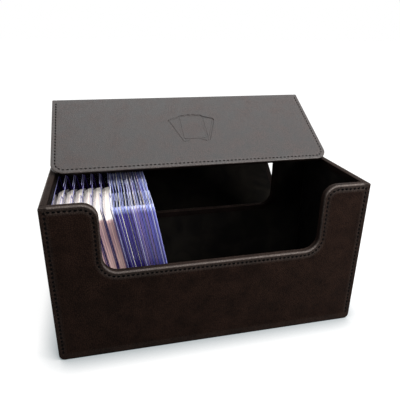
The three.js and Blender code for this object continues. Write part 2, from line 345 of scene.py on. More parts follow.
@dataclass(frozen=True)
class SuedeLining(Finish):
    """Flocked microsuede: a short black nap that takes in nearly all light."""

    name: str = "black microsuede, flocked"
    deep: str = "#0c0b0a"
    brushed: str = "#161411"
    nap_mm: float = 0.5
    nap_relief_mm: float = 0.2
    stroke_mm: float = 22.0

    def surface(self, tree: bpy.types.NodeTree, place: bpy.types.NodeSocket) -> dict[str, Any]:
        """Works out the suede, with faint strokes where the nap lies the other way.

        Args:
            tree: The material's node tree.
            place: The place of a point on its own piece, in metres.

        Returns:
            The shader's inputs by name.
        """
        strokes = add_node(
            tree,
            "TexNoise",
            {
                "Vector": place,
                "Scale": scale_for(self.stroke_mm),
                "Detail": 3.0,
                "Distortion": 0.8,
            },
        )
        colour = add_node(
            tree, "ValToRGB", {"Fac": strokes}, stops=[(0.38, self.deep), (0.62, self.brushed)]
        )
        nap = add_node(
            tree, "TexNoise", {"Vector": place, "Scale": scale_for(self.nap_mm), "Detail": 2.0}
        )
        relief = add_node(
            tree, "Bump", {"Strength": 0.7, "Distance": self.nap_relief_mm * MM, "Height": nap}
        )
        return {
            "Base Color": colour,
            "Roughness": 0.95,
            "Specular IOR Level": 0.02,
            "Sheen Weight": 0.01,
            "Normal": relief,
        }


@dataclass(frozen=True)
class Greyboard(Finish):
    """Greyboard: pressed waste paper, whose fibres show as pale and dark flecks."""

    name: str = "greyboard, pressed"
    pulp: str = "#8d877c"
    fleck: str = "#5f5a52"
    fibre_mm: float = 1.1
    relief_mm: float = 0.1

    def surface(self, tree: bpy.types.NodeTree, place: bpy.types.NodeSocket) -> dict[str, Any]:
        """Works out the board with its fibres.

        Args:
            tree: The material's node tree.
            place: The place of a point on its own piece, in metres.

        Returns:
            The shader's inputs by name.
        """
        fibres = add_node(
            tree, "TexNoise", {"Vector": place, "Scale": scale_for(self.fibre_mm), "Detail": 4.0}
        )
        colour = add_node(
            tree, "ValToRGB", {"Fac": fibres}, stops=[(0.35, self.fleck), (0.55, self.pulp)]
        )
        relief = add_node(
            tree, "Bump", {"Strength": 0.4, "Distance": self.relief_mm * MM, "Height": fibres}
        )
        return {"Base Color": colour, "Roughness": 0.92, "Normal": relief}


@dataclass(frozen=True)
class PlatedSteel(Finish):
    """Plated metal, tumbled: fine random scratches over a bright coat."""

    name: str
    colour: str
    roughness: float
    scratch_mm: float = 0.4
    polished: float = 0.1
    dulled: float = 0.15

    def surface(self, tree: bpy.types.NodeTree, place: bpy.types.NodeSocket) -> dict[str, Any]:
        """Works out the coat, duller where it is scratched.

        Args:
            tree: The material's node tree.
            place: The place of a point on its own piece, in metres.

        Returns:
            The shader's inputs by name.
        """
        scratches = add_node(
            tree, "TexNoise", {"Vector": place, "Scale": scale_for(self.scratch_mm), "Detail": 3.0}
        )
        roughness = add_node(
            tree,
            "MapRange",
            {
                "Value": scratches,
                "To Min": self.roughness - self.polished,
                "To Max": self.roughness + self.dulled,
            },
        )
        return {"Base Color": linear(self.colour), "Metallic": 1.0, "Roughness": roughness}


@dataclass(frozen=True)
class SewingThread(Finish):
    """Bonded polyester thread: two plies, black and matt."""

    name: str = "bonded polyester thread"
    light: str = "#060505"
    dark: str = "#000000"
    turn_mm: float = 2.76

    def surface(self, tree: bpy.types.NodeTree, place: bpy.types.NodeSocket) -> dict[str, Any]:
        """Works out the thread with its turns of ply.

        Args:
            tree: The material's node tree.
            place: The place of a point on its own piece, in metres.

        Returns:
            The shader's inputs by name.
        """
        # At scale 1 a wave's bands lie tau / 10 apart, so this makes one band a turn of the plies
        scale = math.tau / 10 * scale_for(self.turn_mm)
        plies = add_node(
            tree,
            "TexWave",
            {"Vector": place, "Scale": scale, "Distortion": 1.0},
            output="Fac",
            bands_direction="DIAGONAL",
        )
        colour = add_node(
            tree, "ValToRGB", {"Fac": plies}, stops=[(0.2, self.dark), (0.8, self.light)]
        )
        return {"Base Color": colour, "Roughness": 0.7, "Specular IOR Level": 0.03}


@dataclass(frozen=True)
class ClearSheet(Finish):
    """Rigid clear PVC sheet, calendered: see-through, with a violet cast and handling haze."""

    name: str = "rigid clear PVC sheet"
    tint: str = "#5b5994"
    clear: float = 0.965
    mirrored: bool = False
    haze_mm: float = 9.0
    polished: float = 0.04
    hazy: float = 0.22

    def surface(self, tree: bpy.types.NodeTree, place: bpy.types.NodeSocket) -> dict[str, Any]:
        """Works out the sheet as a thin see-through skin.

        Args:
            tree: The material's node tree.
            place: The place of a point on its own piece, in metres.

        Returns:
            The shader's inputs by name.
        """
        haze = add_node(
            tree, "TexNoise", {"Vector": place, "Scale": scale_for(self.haze_mm), "Detail": 4.0}
        )
        dulled = add_node(
            tree, "MapRange", {"Value": haze, "To Min": self.polished, "To Max": self.hazy}
        )
        return {
            "Base Color": linear(self.tint),
            "Metallic": float(self.mirrored),
            "Roughness": self.polished if self.mirrored else dulled,
            "Alpha": 1 - self.clear,
        }


class EdgeTint(Enum):
    """What a sleeve's edge shows from the front: foot, just under the crest, crest and top. The
    lighter crest and top are painted highlights.
    """

    INDIGO = ("#0b0622", "#43398f", "#8189c4", "#a0a7dc")
    VIOLET = ("#1f162e", "#7065ae", "#958ec8", "#bcbfe4")
    PERIWINKLE = ("#16163a", "#6463b8", "#858bd0", "#9ca5e0")
    WHITE_LINE = ("#a8a2ac", "#f8f6fa", "#f8f8fc", "#fffefa")
    PALE_LINE = ("#454268", "#b4b6dc", "#d6daf4", "#e4e7fa")
    ROSE_LINE = ("#5a4c6a", "#ae9bc8", "#d4c8e6", "#f8efe8")
    SKY_LINE = ("#6262a6", "#a3a7ee", "#c0c8f8", "#ccd3fb")
    SEAM = ("#241248", "#2f2064", "#2f2064", "#9b9cc4")


@dataclass(frozen=True)
class SheetEdge(Finish):
    """Cut edge of clear PVC, violet and bright: a painted glow stands for light piped through the
    sheet, and crest and top carry painted highlights.
    """

    tint: EdgeTint
    crest_from_mm: float = 97.0
    crest_full_mm: float = 99.2
    glow: float = 0.015
    streak_mm: float = 0.5
    streak_stretch: tuple[float, float, float] = (1.0, 0.02, 0.012)

    @property
    def name(self) -> str:
        """The material's name, with its tint."""
        return f"PVC sheet edge, {self.tint.name.lower().replace('_', ' ')}"

    def surface(self, tree: bpy.types.NodeTree, place: bpy.types.NodeSocket) -> dict[str, Any]:
        """Works out an edge that brightens from foot to crest and on top, with upright streaks; the
        bright crest and top are painted highlights.

        Args:
            tree: The material's node tree.
            place: The place of a point on its own piece, in metres.

        Returns:
            The shader's inputs by name.
        """
        foot, upper, crest, top = self.tint.value
        level = add_node(tree, "SeparateXYZ", {"Vector": place}, output="Z")
        height = add_node(tree, "MapRange", {"Value": level, "From Max": self.crest_from_mm * MM})
        body = add_node(tree, "ValToRGB", {"Fac": height}, stops=[(0.28, foot), (0.97, upper)])
        # Painted highlight: the crest is lighter, as though lit from above
        above = add_node(
            tree,
            "MapRange",
            {
                "Value": level,
                "From Min": self.crest_from_mm * MM,
                "From Max": self.crest_full_mm * MM,
            },
            interpolation_type="SMOOTHSTEP",
        )
        # Painted highlight: faces that look up take the light top colour
        normal = add_node(tree, "NewGeometry", output="Normal")
        facing = add_node(tree, "SeparateXYZ", {"Vector": normal}, output="Z")
        upward = add_node(tree, "MapRange", {"Value": facing, "From Min": 0.55, "From Max": 0.8})
        colour = body
        for share, tint in ((above, crest), (upward, top)):
            colour = add_node(
                tree, "Mix", {"Factor": share, "A": colour, "B": linear(tint)}, data_type="RGBA"
            )
        stretched = add_node(
            tree, "VectorMath", {0: place, 1: self.streak_stretch}, operation="MULTIPLY"
        )
        streaks = add_node(
            tree,
            "TexNoise",
            {"Vector": stretched, "Scale": scale_for(self.streak_mm), "Detail": 2.0},
        )
        lift = add_node(
            tree,
            "MapRange",
            {"Value": streaks, "From Min": 0.3, "From Max": 0.7, "To Min": 0.5, "To Max": 1.45},
        )
        streaked = add_node(tree, "VectorMath", {0: colour, "Scale": lift}, operation="SCALE")
        # The emission is a painted glow, standing for light piped through the sheet
        return {
            "Base Color": streaked,
            "Roughness": 0.16,
            "Specular IOR Level": 0.3,
            "Emission Color": streaked,
            "Emission Strength": self.glow,
        }


@dataclass(frozen=True)
class CardEdge(Finish):
    """Cut edge of a thick trading card: layers of white board, warmer and duller on the sides,
    where the dullness is painted shade, and with a painted glow.
    """

    name: str = "laminated card edge, die cut"
    top: str = "#f4efe6"
    top_seam: str = "#d9cdc4"
    side: str = "#d6b3ab"
    seam: str = "#977680"
    ply_mm: float = 1.1
    ply_stretch: tuple[float, float, float] = (1.0, 0.02, 0.02)
    glow: float = 0.28

    def surface(self, tree: bpy.types.NodeTree, place: bpy.types.NodeSocket) -> dict[str, Any]:
        """Works out the edge, cream on top and rosy down the sides, with its plies; the darker
        sides are painted shade and the emission is a painted glow.

        Args:
            tree: The material's node tree.
            place: The place of a point on its own piece, in metres.

        Returns:
            The shader's inputs by name.
        """
        normal = add_node(tree, "NewGeometry", output="Normal")
        facing = add_node(tree, "SeparateXYZ", {"Vector": normal}, output="Z")
        upward = add_node(tree, "MapRange", {"Value": facing, "From Min": 0.5, "From Max": 0.8})
        across = add_node(
            tree, "VectorMath", {0: place, 1: self.ply_stretch}, operation="MULTIPLY"
        )
        plies = add_node(
            tree, "TexNoise", {"Vector": across, "Scale": scale_for(self.ply_mm), "Detail": 2.0}
        )
        sides, tops = (
            add_node(tree, "ValToRGB", {"Fac": plies}, stops=stops)
            for stops in (
                [(0.36, self.seam), (0.5, self.side)],
                [(0.34, self.top_seam), (0.46, self.top)],
            )
        )
        # Painted shade: faces that don't look up take the darker, rosier colour
        colour = add_node(tree, "Mix", {"Factor": upward, "A": sides, "B": tops}, data_type="RGBA")
        # The emission is a painted glow
        return {
            "Base Color": colour,
            "Roughness": 0.7,
            "Specular IOR Level": 0.3,
            "Emission Color": colour,
            "Emission Strength": self.glow,
        }


@dataclass(frozen=True)
class PrintedCard(Finish):
    """Coated card, offset printed: a white border round a plain lattice of lozenges."""

    name: str = "coated card, offset printed"
    border: str = "#f2f0ea"
    ground: str = "#2c3c78"
    figure: str = "#8f9fd6"
    width_mm: float = 63.5
    height_mm: float = 88.9
    margin_mm: float = 5.0
    lozenge_mm: float = 6.0
    line_mm: float = 0.6

    def surface(self, tree: bpy.types.NodeTree, place: bpy.types.NodeSocket) -> dict[str, Any]:
        """Works out the printed face.

        Args:
            tree: The material's node tree.
            place: The place of a point on its own piece, in metres.

        Returns:
            The shader's inputs by name.
        """
        parts = add_node(tree, "SeparateXYZ", {"Vector": place}).node.outputs
        middle = self.height_mm / 2 * MM
        across = parts["Y"]
        upward = add_node(tree, "Math", {0: parts["Z"], 1: middle}, operation="SUBTRACT")
        within = []
        for share, size in ((across, self.width_mm), (upward, self.height_mm)):
            off = add_node(tree, "Math", {0: share}, operation="ABSOLUTE")
            limit = (size / 2 - self.margin_mm) * MM
            within.append(add_node(tree, "Math", {0: off, 1: limit}, operation="LESS_THAN"))
        inside = add_node(tree, "Math", dict(enumerate(within)), operation="MULTIPLY")
        slants = []
        for way in ("ADD", "SUBTRACT"):
            slant = add_node(tree, "Math", {0: across, 1: upward}, operation=way)
            half_pitch = self.lozenge_mm * MM / 2
            slants.append(add_node(tree, "Math", {0: slant, 1: half_pitch}, operation="PINGPONG"))
        nearest = add_node(tree, "Math", dict(enumerate(slants)), operation="MINIMUM")
        lines = add_node(tree, "Math", {0: nearest, 1: self.line_mm * MM}, operation="LESS_THAN")
        pattern = linear(self.figure)
        for share, ground in ((lines, self.ground), (inside, self.border)):
            pattern = add_node(
                tree, "Mix", {"Factor": share, "A": linear(ground), "B": pattern}, data_type="RGBA"
            )
        return {"Base Color": pattern, "Roughness": 0.35}


@dataclass(frozen=True)
class SeamlessPaper(Finish):
    """Studio paper, matt: it looks white away from the box, keeps the box's soft shadow from the
    lamps, and has a painted contact shadow close in front of the box.
    """

    name: str = "seamless paper"
    albedo: str = "#747474"
    shade: str = "#004450"
    bleached: str = "#ffffff"
    glow: float = 0.9
    shadow_reach: float = 0.3
    fade: float = 4.0
    contact_mm: float = 20.0
    contact_power: float = 1.7
    contact_samples: int = 16
    front_of_box: tuple[float, float, float] = (0.0, 0.92, 0.39)

    def surface(self, tree: bpy.types.NodeTree, place: bpy.types.NodeSocket) -> dict[str, Any]:
        """Works out the paper, with a painted contact shadow close in front of whatever stands on
        it.

        Args:
            tree: The material's node tree.
            place: The place of a point on its own piece, in metres.

        Returns:
            The shader's inputs by name.
        """
        distance = add_node(tree, "VectorMath", {0: place}, operation="LENGTH")
        glow = add_node(
            tree,
            "MapRange",
            {
                "Value": distance,
                "From Min": self.shadow_reach,
                "From Max": self.fade * self.shadow_reach,
                "To Min": self.glow,
            },
        )
        shown = add_node(tree, "Math", {0: glow, 1: seen_directly(tree)}, operation="MULTIPLY")
        # Painted contact shadow: close in front of anything that stands on it, the paper's white
        # turns to the shade colour
        near = add_node(
            tree,
            "AmbientOcclusion",
            {"Distance": self.contact_mm * MM, "Normal": self.front_of_box},
            output="AO",
            samples=self.contact_samples,
        )
        lit = add_node(tree, "Math", {0: near, 1: self.contact_power}, operation="POWER")
        paper = add_node(
            tree,
            "Mix",
            {"Factor": lit, "A": linear(self.shade), "B": linear(self.bleached)},
            data_type="RGBA",
        )
        return {
            "Base Color": linear(self.albedo),
            "Roughness": 0.9,
            "Specular IOR Level": 0.0,
            "Emission Color": paper,
            "Emission Strength": shown,
        }


class Finishes:
    """Every finish of the box, made once."""

    def __init__(self) -> None:
        """Builds the materials."""
        # Nearly black brown, matt, with grey rims that are partly rubbing from hands and partly
        # painted highlight
        self.tray = Leatherette(
            "leatherette, tray", "#231813", "#110a08", "#9b918b", shine=0.02, roughness=0.56
        ).material()
        # A darker copy of the leatherette, painted shade for the hems inside the bay and the flap's
        # near edge
        self.hem = Leatherette(
            "leatherette, turned in", "#120c0a", "#090605", "#2a2421", shine=0.02, roughness=0.6
        ).material()
        # The open cover mirrors the light overhead, so it looks grey and a little cloudy
        self.cover = Leatherette(
            "leatherette, cover",
            "#2c2321",
            "#151110",
            "#6b625d",
            shine=0.44,
            roughness=0.5,
            mottle_depth=0.65,
        ).material()
        # The nap swallows light, so the bay looks deep and without an end
        self.suede = SuedeLining().material()
        # Pale and dark flecks of torn fibre, where a board's edge is bare
        self.board = Greyboard().material()
        # Bright nickel, and zinc that is duller and greyer
        self.magnet = PlatedSteel("nickel plate on a magnet", "#b9bcc0", 0.25).material()
        self.keeper = PlatedSteel("zinc plate on steel", "#9a9da1", 0.4).material()
        # Black and matt, so a row reads as short dark strokes on the browner skin
        self.thread = SewingThread().material()
        # Only a breath of violet shows in the sheets, and their edges carry the colour
        self.sheet = ClearSheet().material()
        self.thin_sheet = ClearSheet(
            "rigid clear PVC sheet, thin", "#2a2858", clear=0.98
        ).material()
        # Inside a pocket a sheet is only seen at a shallow angle, where it mirrors the card's edge
        self.pocket_side = ClearSheet(
            "rigid clear PVC sheet, pocket side", "#f6f4fa", clear=0.24, mirrored=True
        ).material()
        # Cream plies on top and rosier, darker plies down the sides, where the darkness is painted
        # shade, all with a painted glow; and a satin printed face
        self.card_edge = CardEdge().material()
        self.card_face = PrintedCard().material()
        # A near-black card: painted shade for the thin cards deep between their sheets
        self.dark_card = PrintedCard(
            "coated card, printed dark to its edges", "#08070f", "#08070f", "#15132c"
        ).material()
        # Sheet edges: violet, with painted highlights on crest and top and a faint painted glow
        self.edges = {
            tint: SheetEdge(tint).material() for tint in EdgeTint if tint != EdgeTint.SEAM
        }
        # The thick sleeves' seam edges get a stronger painted glow
        self.edges[EdgeTint.SEAM] = SheetEdge(EdgeTint.SEAM, glow=0.1).material()


@dataclass
class MeshDraft:
    """A mesh in the making: corners in millimetres, faces, their finishes, and each corner's
    rubbing and painted highlight.
    """

    corners: list[np.ndarray] = field(default_factory=list)
    faces: list[tuple[int, ...]] = field(default_factory=list)
    finishes: list[int] = field(default_factory=list)
    wear: list[np.ndarray] = field(default_factory=list)
    count: int = 0

    # In metres: corners closer than the first are one, and edges shorter than the second go
    WELD = 2e-6
    SLIVER = 1e-6

    def add(self, points: np.ndarray, wear: float | np.ndarray = 0.0) -> np.ndarray:
        """Adds corners.

        Args:
            points: Rows of x, y and z.
            wear: How much rubbing and painted highlight each has, from 0 to 1.

        Returns:
            Their indices.
        """
        self.corners.append(np.asarray(points, float))
        self.wear.append(np.broadcast_to(np.asarray(wear, float), len(points)))
        self.count += len(points)
        return np.arange(self.count - len(points), self.count)

    def face(self, indices: Sequence[int], finish: int = 0) -> None:
        """Adds one face."""
        self.faces.append(tuple(int(i) for i in indices))
        self.finishes.append(finish)

    def loft(
        self,
        rings: Sequence[np.ndarray],
        closed: bool,
        wear: Sequence[np.ndarray] | None = None,
        finish: int = 0,
    ) -> list[np.ndarray]:
        """Joins rings of as many corners each by four-sided faces.

        Args:
            rings: The rings, each as rows of x, y and z.
            closed: Whether a ring's end meets its start.
            wear: The rubbing and painted highlight of each ring.
            finish: The faces' finish.

        Returns:
            The indices of each ring's corners.
        """
        rubbed_and_highlit = wear if wear is not None else [0.0] * len(rings)
        made = [self.add(ring, worn_and_highlit) for ring, worn_and_highlit in zip(rings, rubbed_and_highlit)]
        size = len(rings[0])
        for near, far in zip(made, made[1:]):
            for i in range(size if closed else size - 1):
                j = (i + 1) % size
                self.face((near[i], near[j], far[j], far[i]), finish)
        return made

    def solid(
        self,
        rings: Sequence[np.ndarray],
        wear: Sequence[np.ndarray] | None = None,
        finish: int = 0,
    ) -> None:
        """Joins rings to a solid and closes both its ends, which get the first finish.

        Args:
            rings: The rings, each as rows of x, y and z.
            wear: The rubbing and painted highlight of each ring.
            finish: The finish of the faces between them.
        """
        made = self.loft(rings, closed=True, wear=wear, finish=finish)
        self.face(made[0][::-1])
        self.face(made[-1])

    def piece(
        self, name: str, materials: Sequence[bpy.types.Material], crease_deg: float = 42.0
    ) -> bpy.types.Object:
        """Turns the draft into a piece with clean faces.

        Args:
            name: The piece's name.
            materials: What its finishes stand for.
            crease_deg: The bend from which an edge looks sharp.

        Returns:
            The new object, in metres.
        """
        mesh = bpy.data.meshes.new(name)
        mesh.from_pydata((np.vstack(self.corners) * MM).tolist(), [], self.faces)
        mesh.polygons.foreach_set("material_index", self.finishes)
        rubbed_and_highlit = mesh.attributes.new("wear", "FLOAT", "POINT")
        rubbed_and_highlit.data.foreach_set("value", np.concatenate(self.wear).astype(np.float32))
        work = bmesh.new()
        work.from_mesh(mesh)
        bmesh.ops.remove_doubles(work, verts=work.verts, dist=self.WELD)
        bmesh.ops.dissolve_degenerate(work, edges=work.edges, dist=self.SLIVER)
        bmesh.ops.recalc_face_normals(work, faces=work.faces)
        work.to_mesh(mesh)
        work.free()
        mesh.shade_smooth()
        mesh.set_sharp_from_angle(angle=math.radians(crease_deg))
        for material in materials:
            mesh.materials.append(material)
        made = add_object(name, mesh)
        log.info("%s: %d faces", name, len(mesh.polygons))
        return made


@dataclass(frozen=True)
class Corner:
    """A corner of an outline, and the radius that it is rounded to."""

    x: float
    y: float
    radius: float = 0.0


class RoundedPath:
    """An outline of straight edges and rounded corners that can be drawn in by any inset.

    It runs with its inside on the left. Each ring has the same number of points, spaced evenly
    along the ring at the seam.
    """

    # A round corner has at least this many edges
    LEAST_STEPS = 5

    def __init__(
        self, corners: Sequence[Corner], closed: bool, seam: float, spacing: float
    ) -> None:
        """Counts the points of each bend and edge.

        Args:
            corners: The sharp corners and their radii, in order.
            closed: Whether the last corner leads back to the first.
            seam: The inset at which the points are spaced.
            spacing: The distance between them there.
        """
        self.corners = list(corners)
        self.closed = closed
        self.spots = [np.array((c.x, c.y)) for c in self.corners]
        self.bend_steps = [self.LEAST_STEPS] * len(self.corners)
        rough = [self._bend(k, seam) for k in range(len(self.corners))]
        lengths = [run_lengths(bend)[-1] for bend in rough]
        self.bend_steps = [max(self.LEAST_STEPS, round(length / spacing)) for length in lengths]
        gaps = [np.linalg.norm(b[0] - a[-1]) for a, b in zip(rough, rough[1:] + rough[:1])]
        self.edge_steps = [max(1, round(gap / spacing)) for gap in gaps]

    def _bend(self, k: int, inset: float) -> np.ndarray:
        """Draws one rounded corner.

        Args:
            k: Which corner.
            inset: How far in.

        Returns:
            Rows of x and y. An open outline's end is a single point.
        """
        here = self.spots[k]
        last = len(self.spots) - 1
        if not self.closed and k in (0, last):
            along = unit(self.spots[1] - here) if k == 0 else unit(here - self.spots[k - 1])
            return np.array([here + np.array((-along[1], along[0])) * inset])
        before = unit(here - self.spots[k - 1])
        after = unit(self.spots[(k + 1) % len(self.spots)] - here)
        turn = math.atan2(before[0] * after[1] - before[1] * after[0], float(before @ after))
        radius = max(self.corners[k].radius - math.copysign(inset, turn), 0.0)
        left_before = np.array((-before[1], before[0]))
        left_after = np.array((-after[1], after[0]))
        mitre = here + (left_before + left_after) * inset / (1 + float(before @ after))
        start = mitre - before * radius * abs(math.tan(turn / 2))
        centre = start + left_before * math.copysign(radius, turn)
        angles = np.linspace(0, turn, self.bend_steps[k] + 1)
        cos, sin = np.cos(angles), np.sin(angles)
        x, y = start - centre
        return centre + np.column_stack((x * cos - y * sin, x * sin + y * cos))

    def ring(self, inset: float) -> np.ndarray:
        """Draws the outline.

        Args:
            inset: How far in.

        Returns:
            Rows of x and y.
        """
        bends = [self._bend(k, inset) for k in range(len(self.corners))]
        parts = []
        for k, bend in enumerate(bends):
            parts.append(bend)
            if self.closed or k + 1 < len(bends):
                following = bends[(k + 1) % len(bends)][0]
                shares = np.arange(1, self.edge_steps[k])[:, None] / self.edge_steps[k]
                parts.append(bend[-1] + (following - bend[-1]) * shares)
        return np.vstack(parts)


@dataclass(frozen=True)
class Seam:
    """A row of machine stitches and the furrow that it pulls into the leatherette."""

    inset: float = 3.2
    pitch: float = 3.2
    stitch: float = 2.1
    thread_width: float = 1.45
    thread_height: float = 0.5
    furrow: float = 1.35
    furrow_depth: float = 0.1
    hole_depth: float = 0.3
    run_in: float = 2.0

    @property
    def spacing(self) -> float:
        """The distance between a mesh's points along the seam: four to a stitch."""
        return self.pitch / 4

    def stations(self, start: float, end: float) -> np.ndarray:
        """Evenly spaced places from a start to an end."""
        return np.linspace(start, end, round((end - start) / self.spacing) + 1)

    def swell(self, along: np.ndarray) -> np.ndarray:
        """How far the leatherette swells up between two stitches, from 0 to 1."""
        return (0.5 + 0.5 * np.cos(math.tau * along / self.pitch)) ** 2

    def depth(self, along: np.ndarray) -> np.ndarray:
        """How deep the middle of the furrow is at places along the seam."""
        return self.furrow_depth + self.hole_depth * (1 - self.swell(along))

    def tension(self, along: np.ndarray) -> np.ndarray:
        """How hard the thread pulls, from 0 at both ends of a row to 1."""
        return smoothstep(np.minimum(along - along[0], along[-1] - along), 0, self.run_in)


class ThreadRow:
    """Rows of stitches, gathered into one piece."""

    # Where a stitch's sections stand along it, from end to end, and how many sides they have
    BEADS = (-1.0, -0.8, -0.4, 0.0, 0.4, 0.8, 1.0)
    SIDES = 6
    SLANT = math.radians(5)
    # In thread heights: how far a stitch's middle stands up and its ends dive into their holes
    RISE = 0.12
    DIVE = 0.34
    BLUNTNESS = 2.5
    TIP = 0.02
    CREASE_DEG = 80.0

    def __init__(self) -> None:
        """Starts with no stitch."""
        self.draft = MeshDraft()

    def sew(self, line: np.ndarray, outward: np.ndarray, seam: Seam) -> None:
        """Lays stitches along a line.

        Args:
            line: Points on the surface, in order.
            outward: The way out of the surface at each point.
            seam: The kind of seam.
        """
        lengths = run_lengths(line)
        count = int(lengths[-1] // seam.pitch)
        first = (lengths[-1] - count * seam.pitch) / 2
        beads = np.array(self.BEADS)
        girths = np.sqrt(np.clip(1 - np.abs(beads) ** self.BLUNTNESS, 0, 1))
        turns = np.arange(self.SIDES) * math.tau / self.SIDES

        def at(place: float, values: np.ndarray) -> np.ndarray:
            """Reads rows of x, y and z at a place along the line."""
            return np.array([np.interp(place, lengths, values[:, axis]) for axis in range(3)])

        for k in range(count):
            middle = first + (k + 0.5) * seam.pitch
            centre = at(middle, line)
            up = unit(at(middle, outward))
            along = unit(at(middle + seam.spacing, line) - at(middle - seam.spacing, line))
            side = unit(np.cross(up, along))
            along = along * math.cos(self.SLANT) + side * math.sin(self.SLANT)
            side = np.cross(up, along)
            across = np.outer(np.cos(turns), side) * seam.thread_width / 2
            proud = np.outer(np.sin(turns), up) * seam.thread_height / 2
            rings = []
            for bead, girth in zip(beads, girths):
                dip = up * (self.RISE - self.DIVE * bead**4) * seam.thread_height
                spot = centre + along * bead * seam.stitch / 2 + dip
                rings.append(spot + (across + proud) * max(girth, self.TIP))
            self.draft.solid(rings)

    def piece(self, name: str, material: bpy.types.Material, body: str) -> bpy.types.Object:
        """Makes the stitches one piece that rides on a body."""
        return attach(self.draft.piece(name, [material], self.CREASE_DEG), body)


@dataclass(frozen=True)
class HemmedEdge:
    """Cross-section of a leatherette edge, from the outer face over the rim to the hem inside.

    Each row of its profile is an inset from the outline, a depth from the outer face, a share of
    the seam's furrow, and how much rubbing and painted highlight the place has. The sizes are those
    of the tray's walls.
    """

    thickness: float = 5.0
    skin: float = 0.8
    rim: float = 1.0
    outer_round: float = 1.2
    plain_round: float = 0.45
    inner_round: float = 0.7
    hem: float = 5.0
    proud: float = 0.2
    lip: float = 0.12
    plain_lip: float = 0.04
    plain_ledge: float = 0.05
    hem_gap: float = 0.03
    face: float = 9.0
    seam: Seam = Seam()
    border_wear: float = 0.085
    edge_wear: float = 0.045
    # How strong the rim's rubbing and painted highlight are, where the edge is turned in and where
    # it isn't
    rim_rub_and_highlight: float = 0.54
    plain_rub_and_highlight: float = 0.12
    hem_wear: float = 0.02
    steps: int = 5

    # Where the border flattens out, in furrows from the seam, and where the rim's rubbing and
    # painted highlight end
    FLAT_FROM = 2.2
    RUB_HIGHLIGHT_ENDS = 0.5
    # The rubbing and the painted highlight are strongest halfway round the rim's outer round: they
    # rise and fade over these bends, in radians
    RUB_HIGHLIGHT_RISES = (0.0, 0.6)
    RUB_HIGHLIGHT_FADES = (0.9, 1.5)
    FADED = 0.85

    def profile(self, hemmed: bool) -> np.ndarray:
        """The rows, from the flat outer face round to the inner side of the skin.

        Args:
            hemmed: Whether the leatherette is turned over the rim onto the inner face.

        Returns:
            Rows of inset, depth, seam share, and rubbing with painted highlight.
        """
        lip = self.lip if hemmed else self.plain_lip
        turn = self.outer_round if hemmed else self.plain_round
        rim_rub_and_light = self.rim_rub_and_highlight if hemmed else self.plain_rub_and_highlight
        top = self.thickness + (self.proud if hemmed else 0.0)
        hem = self.hem if hemmed else self.rim + self.plain_ledge
        under = self.thickness + self.hem_gap if hemmed else top - lip
        seam, edge, inner = self.seam, self.edge_wear, min(self.inner_round, self.rim)
        border = seam.inset + self.FLAT_FROM * seam.furrow
        rows = [(inset, 0.0, 0.0, 0.0) for inset in (self.face, border)]
        for u in np.linspace(1, -1, self.steps):
            share = 0.5 + 0.5 * math.cos(math.pi * u)
            rows.append((seam.inset + u * seam.furrow, 0.0, share, self.border_wear))
        bends = np.linspace(0, math.pi / 2, self.steps)
        for a in bends:
            # Painted highlight: a light band round the outer round of the rim, over its rubbing
            fade = 1 - self.FADED * smoothstep(a, *self.RUB_HIGHLIGHT_FADES)
            worn_and_highlit = float(rim_rub_and_light * smoothstep(a, *self.RUB_HIGHLIGHT_RISES) * fade + self.border_wear)
            rows.append((turn * (1 - math.sin(a)), turn * (1 - math.cos(a)), 0.0, worn_and_highlit))
        rows.append((0.0, turn + self.RUB_HIGHLIGHT_ENDS, 0.0, edge))
        rows += [
            (inner * (1 - math.cos(b)), top - inner * (1 - math.sin(b)), 0.0, edge) for b in bends
        ]
        rows += [(hem - lip, top, 0.0, self.hem_wear), (hem, top - lip, 0.0, self.hem_wear)]
        rows += [(hem, under, 0.0, 0.0), (self.rim, under, 0.0, 0.0)]
        rows.append((self.rim, self.skin, 0.0, 0.0))
        return np.array(rows)


